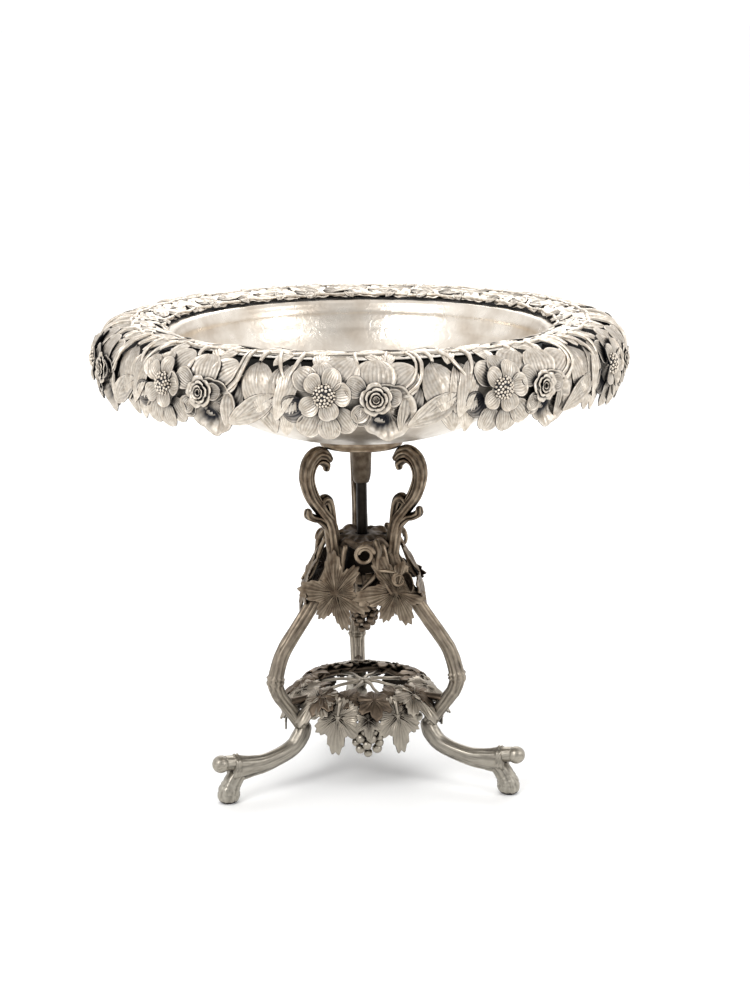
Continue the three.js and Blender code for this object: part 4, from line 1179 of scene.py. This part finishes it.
# ---------------------------------------------------------------- wreath
def wreath_ring():
    """The wreath's vine ring, its arms to the legs and the small leaves that lie on it."""
    middle = WREATH_MIDDLE
    casting = Casting()
    count = 220
    around = np.arange(count) * math.tau / count
    radius = 43 + (1.0 * np.sin(5 * around + 0.7) + 0.7 * np.sin(8 * around))
    casting.line(np.stack([radius * np.cos(around), radius * np.sin(around),
                           middle + 0.9 * np.sin(6 * around + 1), 4.6 + 0.5 * np.sin(9 * around),
                           3.1 + 0.2 * np.sin(7 * around)], 1), 5, 0.10, cyclic=True)
    # A thinner vine winds round the rail.
    twine = 9 * around
    wound = radius + 4.8 * np.cos(twine)
    thin = 1.25 + 0 * around
    casting.line(np.stack([wound * np.cos(around), wound * np.sin(around), middle + 3.2 * np.sin(twine),
                           thin, thin], 1), cyclic=True)
    casting.grow(36, across=(0, 0, 1), bark=0.8, bark_spacing=2.2)
    for degrees in LEG_ANGLES:
        rows = smooth([[44, 0, middle, 3.6, 2.6], [52, 0, middle, 3.0, 2.6], [60, 0, middle, 3.2, 2.7],
                       [66.5, 0, middle, 3.8, 2.8]], 1.5)
        rows[:, :3] = about_z(rows[:, :3], degrees)
        casting.line(rounded(rows), 4, 0.08)
    casting.grow(20, across=(0, 0, 1), bark=0.4)
    # Small leaves lie on the rail all the way round, every other one tipped out.
    lobes = [(-90, 1.1), (-38, 0.95), (-142, 0.95), (28, 0.8), (152, 0.8)]
    leaves = 15
    for i in range(leaves):
        tipped = i % 2
        turn = math.radians(360 / leaves * (i + 0.5))
        out = Vector((math.cos(turn), math.sin(turn), 0))
        leaf = vine_leaf(lobes, 14 + 2 * tipped, heart=0.68, droop=0.2, teeth=24, fine=91, dull=0.05)
        set_leaf(casting, leaf, out * (44 + 4 * tipped) + Vector((0, 0, middle + 4.4)),
                 out * (0.9 if tipped else -0.5) + Vector((0, 0, -0.45)),
                 out * 0.45 + Vector((0, 0, 1)), 1.1)
    return casting


def spider():
    """Eight thin stems that meet in a knob in the middle of the wreath."""
    middle = WREATH_MIDDLE
    top = corners("wreath_spider")[1].z - 0.6
    casting = Casting()
    for i in range(8):
        rows = smooth([[1.5, 0, top - 2, 1.9, 1.5], [10, 0.9, top - 1.6, 1.4, 1.3],
                       [20, -0.8, top - 2.8, 1.2, 1.2], [31, 0, middle + 1.0, 1.5, 1.4],
                       [38, 0, middle - 0.4, 1.7, 1.5]], 1.2)
        rows[:, :3] = about_z(rows[:, :3], 22.5 + 45 * i)
        casting.line(rounded(rows))
    knob = [(t, 0.1 + 4.6 * math.cos(t)) for t in np.linspace(-1.5, 1.5, 9)]
    casting.line([[0.001 * t, 0, top - 2 + 2.4 * math.sin(t), size, size] for t, size in knob], 8, 0.08)
    casting.grow(18, across=(0.02, 0.03, 1))
    return casting


def wreath_leaf(degrees_off):
    """A vine leaf on a stalk from the ring: it droops near the bay's middle and lies out beside a leg."""
    droops = abs(degrees_off) < 30
    casting = Casting()
    middle = WREATH_MIDDLE
    lobes = [(-90, 1.25), (-35, 0.95), (-145, 0.95), (25, 0.8), (155, 0.8), (90, 0.55)]
    if droops:
        grid = vine_leaf(lobes, 21.5, heart=0.70, droop=0.16, teeth=30, dish=0.1, dull=0.0)
        set_leaf(casting, grid, (55, 0, 60), (0.42, 0, -1), (1, 0, 0.5))
        stalk = [[45, 0, middle + 1, 1.8, 1.8], [50, 0, middle + 2.5, 1.6, 1.6], [54.5, 0, 61.5, 1.1, 1.1]]
    else:
        side = 1 if degrees_off > 0 else -1
        turned = [(a + 10 * side, r) for a, r in lobes]
        grid = vine_leaf(turned, 20.5, heart=0.70, droop=0.2, teeth=30, dish=0.12, dull=0.0)
        set_leaf(casting, grid, (49.5, 0, middle + 3.2), (1, 0, -0.55), (0.55, 0, 1))
        stalk = [[44, 0, middle, 1.8, 1.8], [50, 0, middle + 2, 1.6, 1.6], [55, 0, middle + 1.0, 1.1, 1.1]]
    casting.line(rounded(smooth(stalk, 1.5)))
    casting.grow(14, across=(0, 1, 0))
    return casting


def wreath_grapes(seed):
    """A bunch that hangs from the ring in the middle of a bay, with a small leaf over it."""
    low, high = corners("wreath_grapes_2")
    middle = -(low.y + high.y) / 2 + 8
    casting = Casting()
    top = high.z
    casting.line(rounded(smooth([[middle - 5, 0, top, 1.7, 1.7], [middle - 2, 0, top - 5, 1.5, 1.5],
                                 [middle, 0, top - 10, 1.2, 1.2]], 1.5), foot=False))
    casting.grow(12)
    casting.berries(bunch_rows((middle, 0, top - 9), [5, 7, 7, 5, 3, 1], 3.8, 9.2, 4.7), seed)
    small, soot = vine_leaf([(-90, 1.0), (-35, 0.8), (-145, 0.8), (30, 0.7), (150, 0.7)], 14, droop=0.3)
    set_leaf(casting, (small, soot), (middle + 8, 0, top - 4), (0.5, 0, -1), (1, 0, 0.8))
    return casting


# ---------------------------------------------------------------- making
VINE = vine_tree()
BERRIES = berry_tree()
RIM = rim_tree()

make_camera()
softbox("key_softbox", (-1.5, -1.6, 1.9), (0, 0, 0.25), 1.0, 1.2, 30)
softbox("fill_softbox", (1.7, -1.2, 1.4), (0, 0, 0.25), 0.8, 1.2, 14)
softbox("back_softbox", (0.3, 1.9, 1.7), (0, 0, 0.25), 1.8, 1.0, 18)
scene.world = studio()
scene.view_settings.view_transform = "Standard"

floor = mesh_object("floor", [(-40, -40, 0), (40, -40, 0), (40, 40, 0), (-40, 40, 0)], [], [(0, 1, 2, 3)])
floor.data.materials.append(floor_paint())

# Silver plate spun bright and long polished: warm, softly mirrored, cloudy, faintly rippled by the tool.
# Its near-black colour goes on as painted shade behind the border, on the underside and in the hollows.
spun_plate = metal("silver_plate_spun", "#E9E1D5", "#C3B7A8", "#201F1D", 0.24, 24, 2.6, 0.05, 3, 0.25,
                   7, 0.30)
# Silver plate over sand-cast white metal: ivory on the petals, blue-black in the recesses with painted
# shade and tarnishing, and as painted shade on the backs of the sheets and on the web behind the flowers.
cast_plate = metal("silver_plate_cast", "#E8DFD2", "#C8BCAC", "#303136", 0.34, 3.5, 1.4, 0.18, 5, 0.6)
# Nickel silver tarnished in the air: brown, turning a lighter plain grey towards the floor, black in the
# grooves with painted shade and tarnishing.
nickel = metal("nickel_silver_tarnished", "#978875", "#6A5A4A", "#1A1410", 0.34, 7, 1.8, 0.12, 4, 1.0,
               low_colour="#A8A398", low_colour_below_mm=150)
# The same metal made darker: brown-black, partly tarnishing and partly painted shade for the deep shade
# inside the stand where these parts sit; a little gloss left on the high places.
dark_nickel = metal("nickel_silver_darkened", "#7C6E5F", "#594D41", "#100D0A", 0.4, 10, 1.8, 0.12, 4, 1.0)
# Mild steel blackened in oil: almost black, satin.
black_iron = metal("mild_steel_oil_blackened", "#2A2622", "#1A1714", "#0B0908", 0.38, 8, 0.6, 0.05, 4, 0.6)

place(spun_bowl().object("bowl"), "bowl", "bowl_silver", spun_plate, "bowl_shell")

roll = mesh_object("roll", roll_line() * MM, [(i, i + 1) for i in range(len(roll_line()) - 1)], [])
domes = dome_mesh(DOME_RADIUS)
flat = flat_section().object("flat_casting")
for i in range(SECTIONS):
    name = f"border_casting_{i + 1:02d}"
    shape = worked(flat, RIM, {
        "Roll": roll, "Domes": domes, "Bead size": BEAD_RADIUS * MM, "Bead spacing": BEAD_SPACING * MM,
        "Face radius": FACE_RADIUS * MM, "Face length": FACE_LENGTH * MM,
        "Turn": math.radians(FIRST_SECTION + SECTION_TURN * i), "Unevenness": UNEVENNESS * MM, "Seed": i})
    piece = bpy.data.objects.new(name, shape)
    scene.collection.objects.link(piece)
    place(piece, "bowl", "border_silver", cast_plate, f"border_section_{i + 1:02d}")
for helper in (roll, domes, flat):
    bpy.data.objects.remove(helper)

place(boss().object("boss"), "bowl", "stand_nickel", nickel, "bowl_boss")
place(rod().object("threaded_rod"), "bowl", "black_iron", black_iron, "tie_rod")
place(washer().object("washer_plate"), "washer", "stand_nickel", nickel, "tie_washer")
place(nut().object("hexagon_nut"), "nut", "stand_nickel", nickel, "tie_nut")
place(seat_ring().object("bowl_seat"), "stand", "stand_nickel", nickel, "seat_ring")
place(collar().object("ruffled_collar"), "stand", "dark_nickel", dark_nickel, "waist_collar")
for i, degrees in enumerate(LEG_ANGLES):
    number = i + 1
    for make, name, node in ((leg_scroll, "scroll", "leg_scroll"), (leg_bow, "bow", "leg_bow"),
                             (leg_foot, "foot", "leg_foot")):
        place(make().object(f"{name}_{number}", degrees), "stand", "stand_nickel", nickel,
              f"{node}_{number}")
    bay = degrees + 60
    for side, leaf in ((-30, 2 * i + 1), (30, 2 * i + 2)):
        place(waist_leaf().object(f"grape_leaf_{leaf}", bay + side), "stand", "stand_nickel", nickel,
              f"waist_leaf_{leaf}")
    place(waist_tendril(number == 2).object(f"tendril_{number}", bay), "stand", "stand_nickel", nickel,
          f"waist_tendril_{number}")
    place(waist_grapes(i).object(f"waist_bunch_{number}", bay), "stand", "dark_nickel", dark_nickel,
          f"waist_grapes_{number}")
    for leaf, off in enumerate((-46, -24, 24, 46), 4 * i + 1):
        place(wreath_leaf(off).object(f"vine_leaf_{leaf}", bay + off), "stand", "stand_nickel", nickel,
              f"wreath_leaf_{leaf}")
    place(wreath_grapes(i + 5).object(f"wreath_bunch_{number}", bay), "stand", "stand_nickel", nickel,
          f"wreath_grapes_{number}")
place(wreath_ring().object("vine_ring"), "stand", "dark_nickel", dark_nickel, "wreath_ring")
place(spider().object("spider_stems"), "stand", "stand_nickel", nickel, "wreath_spider")
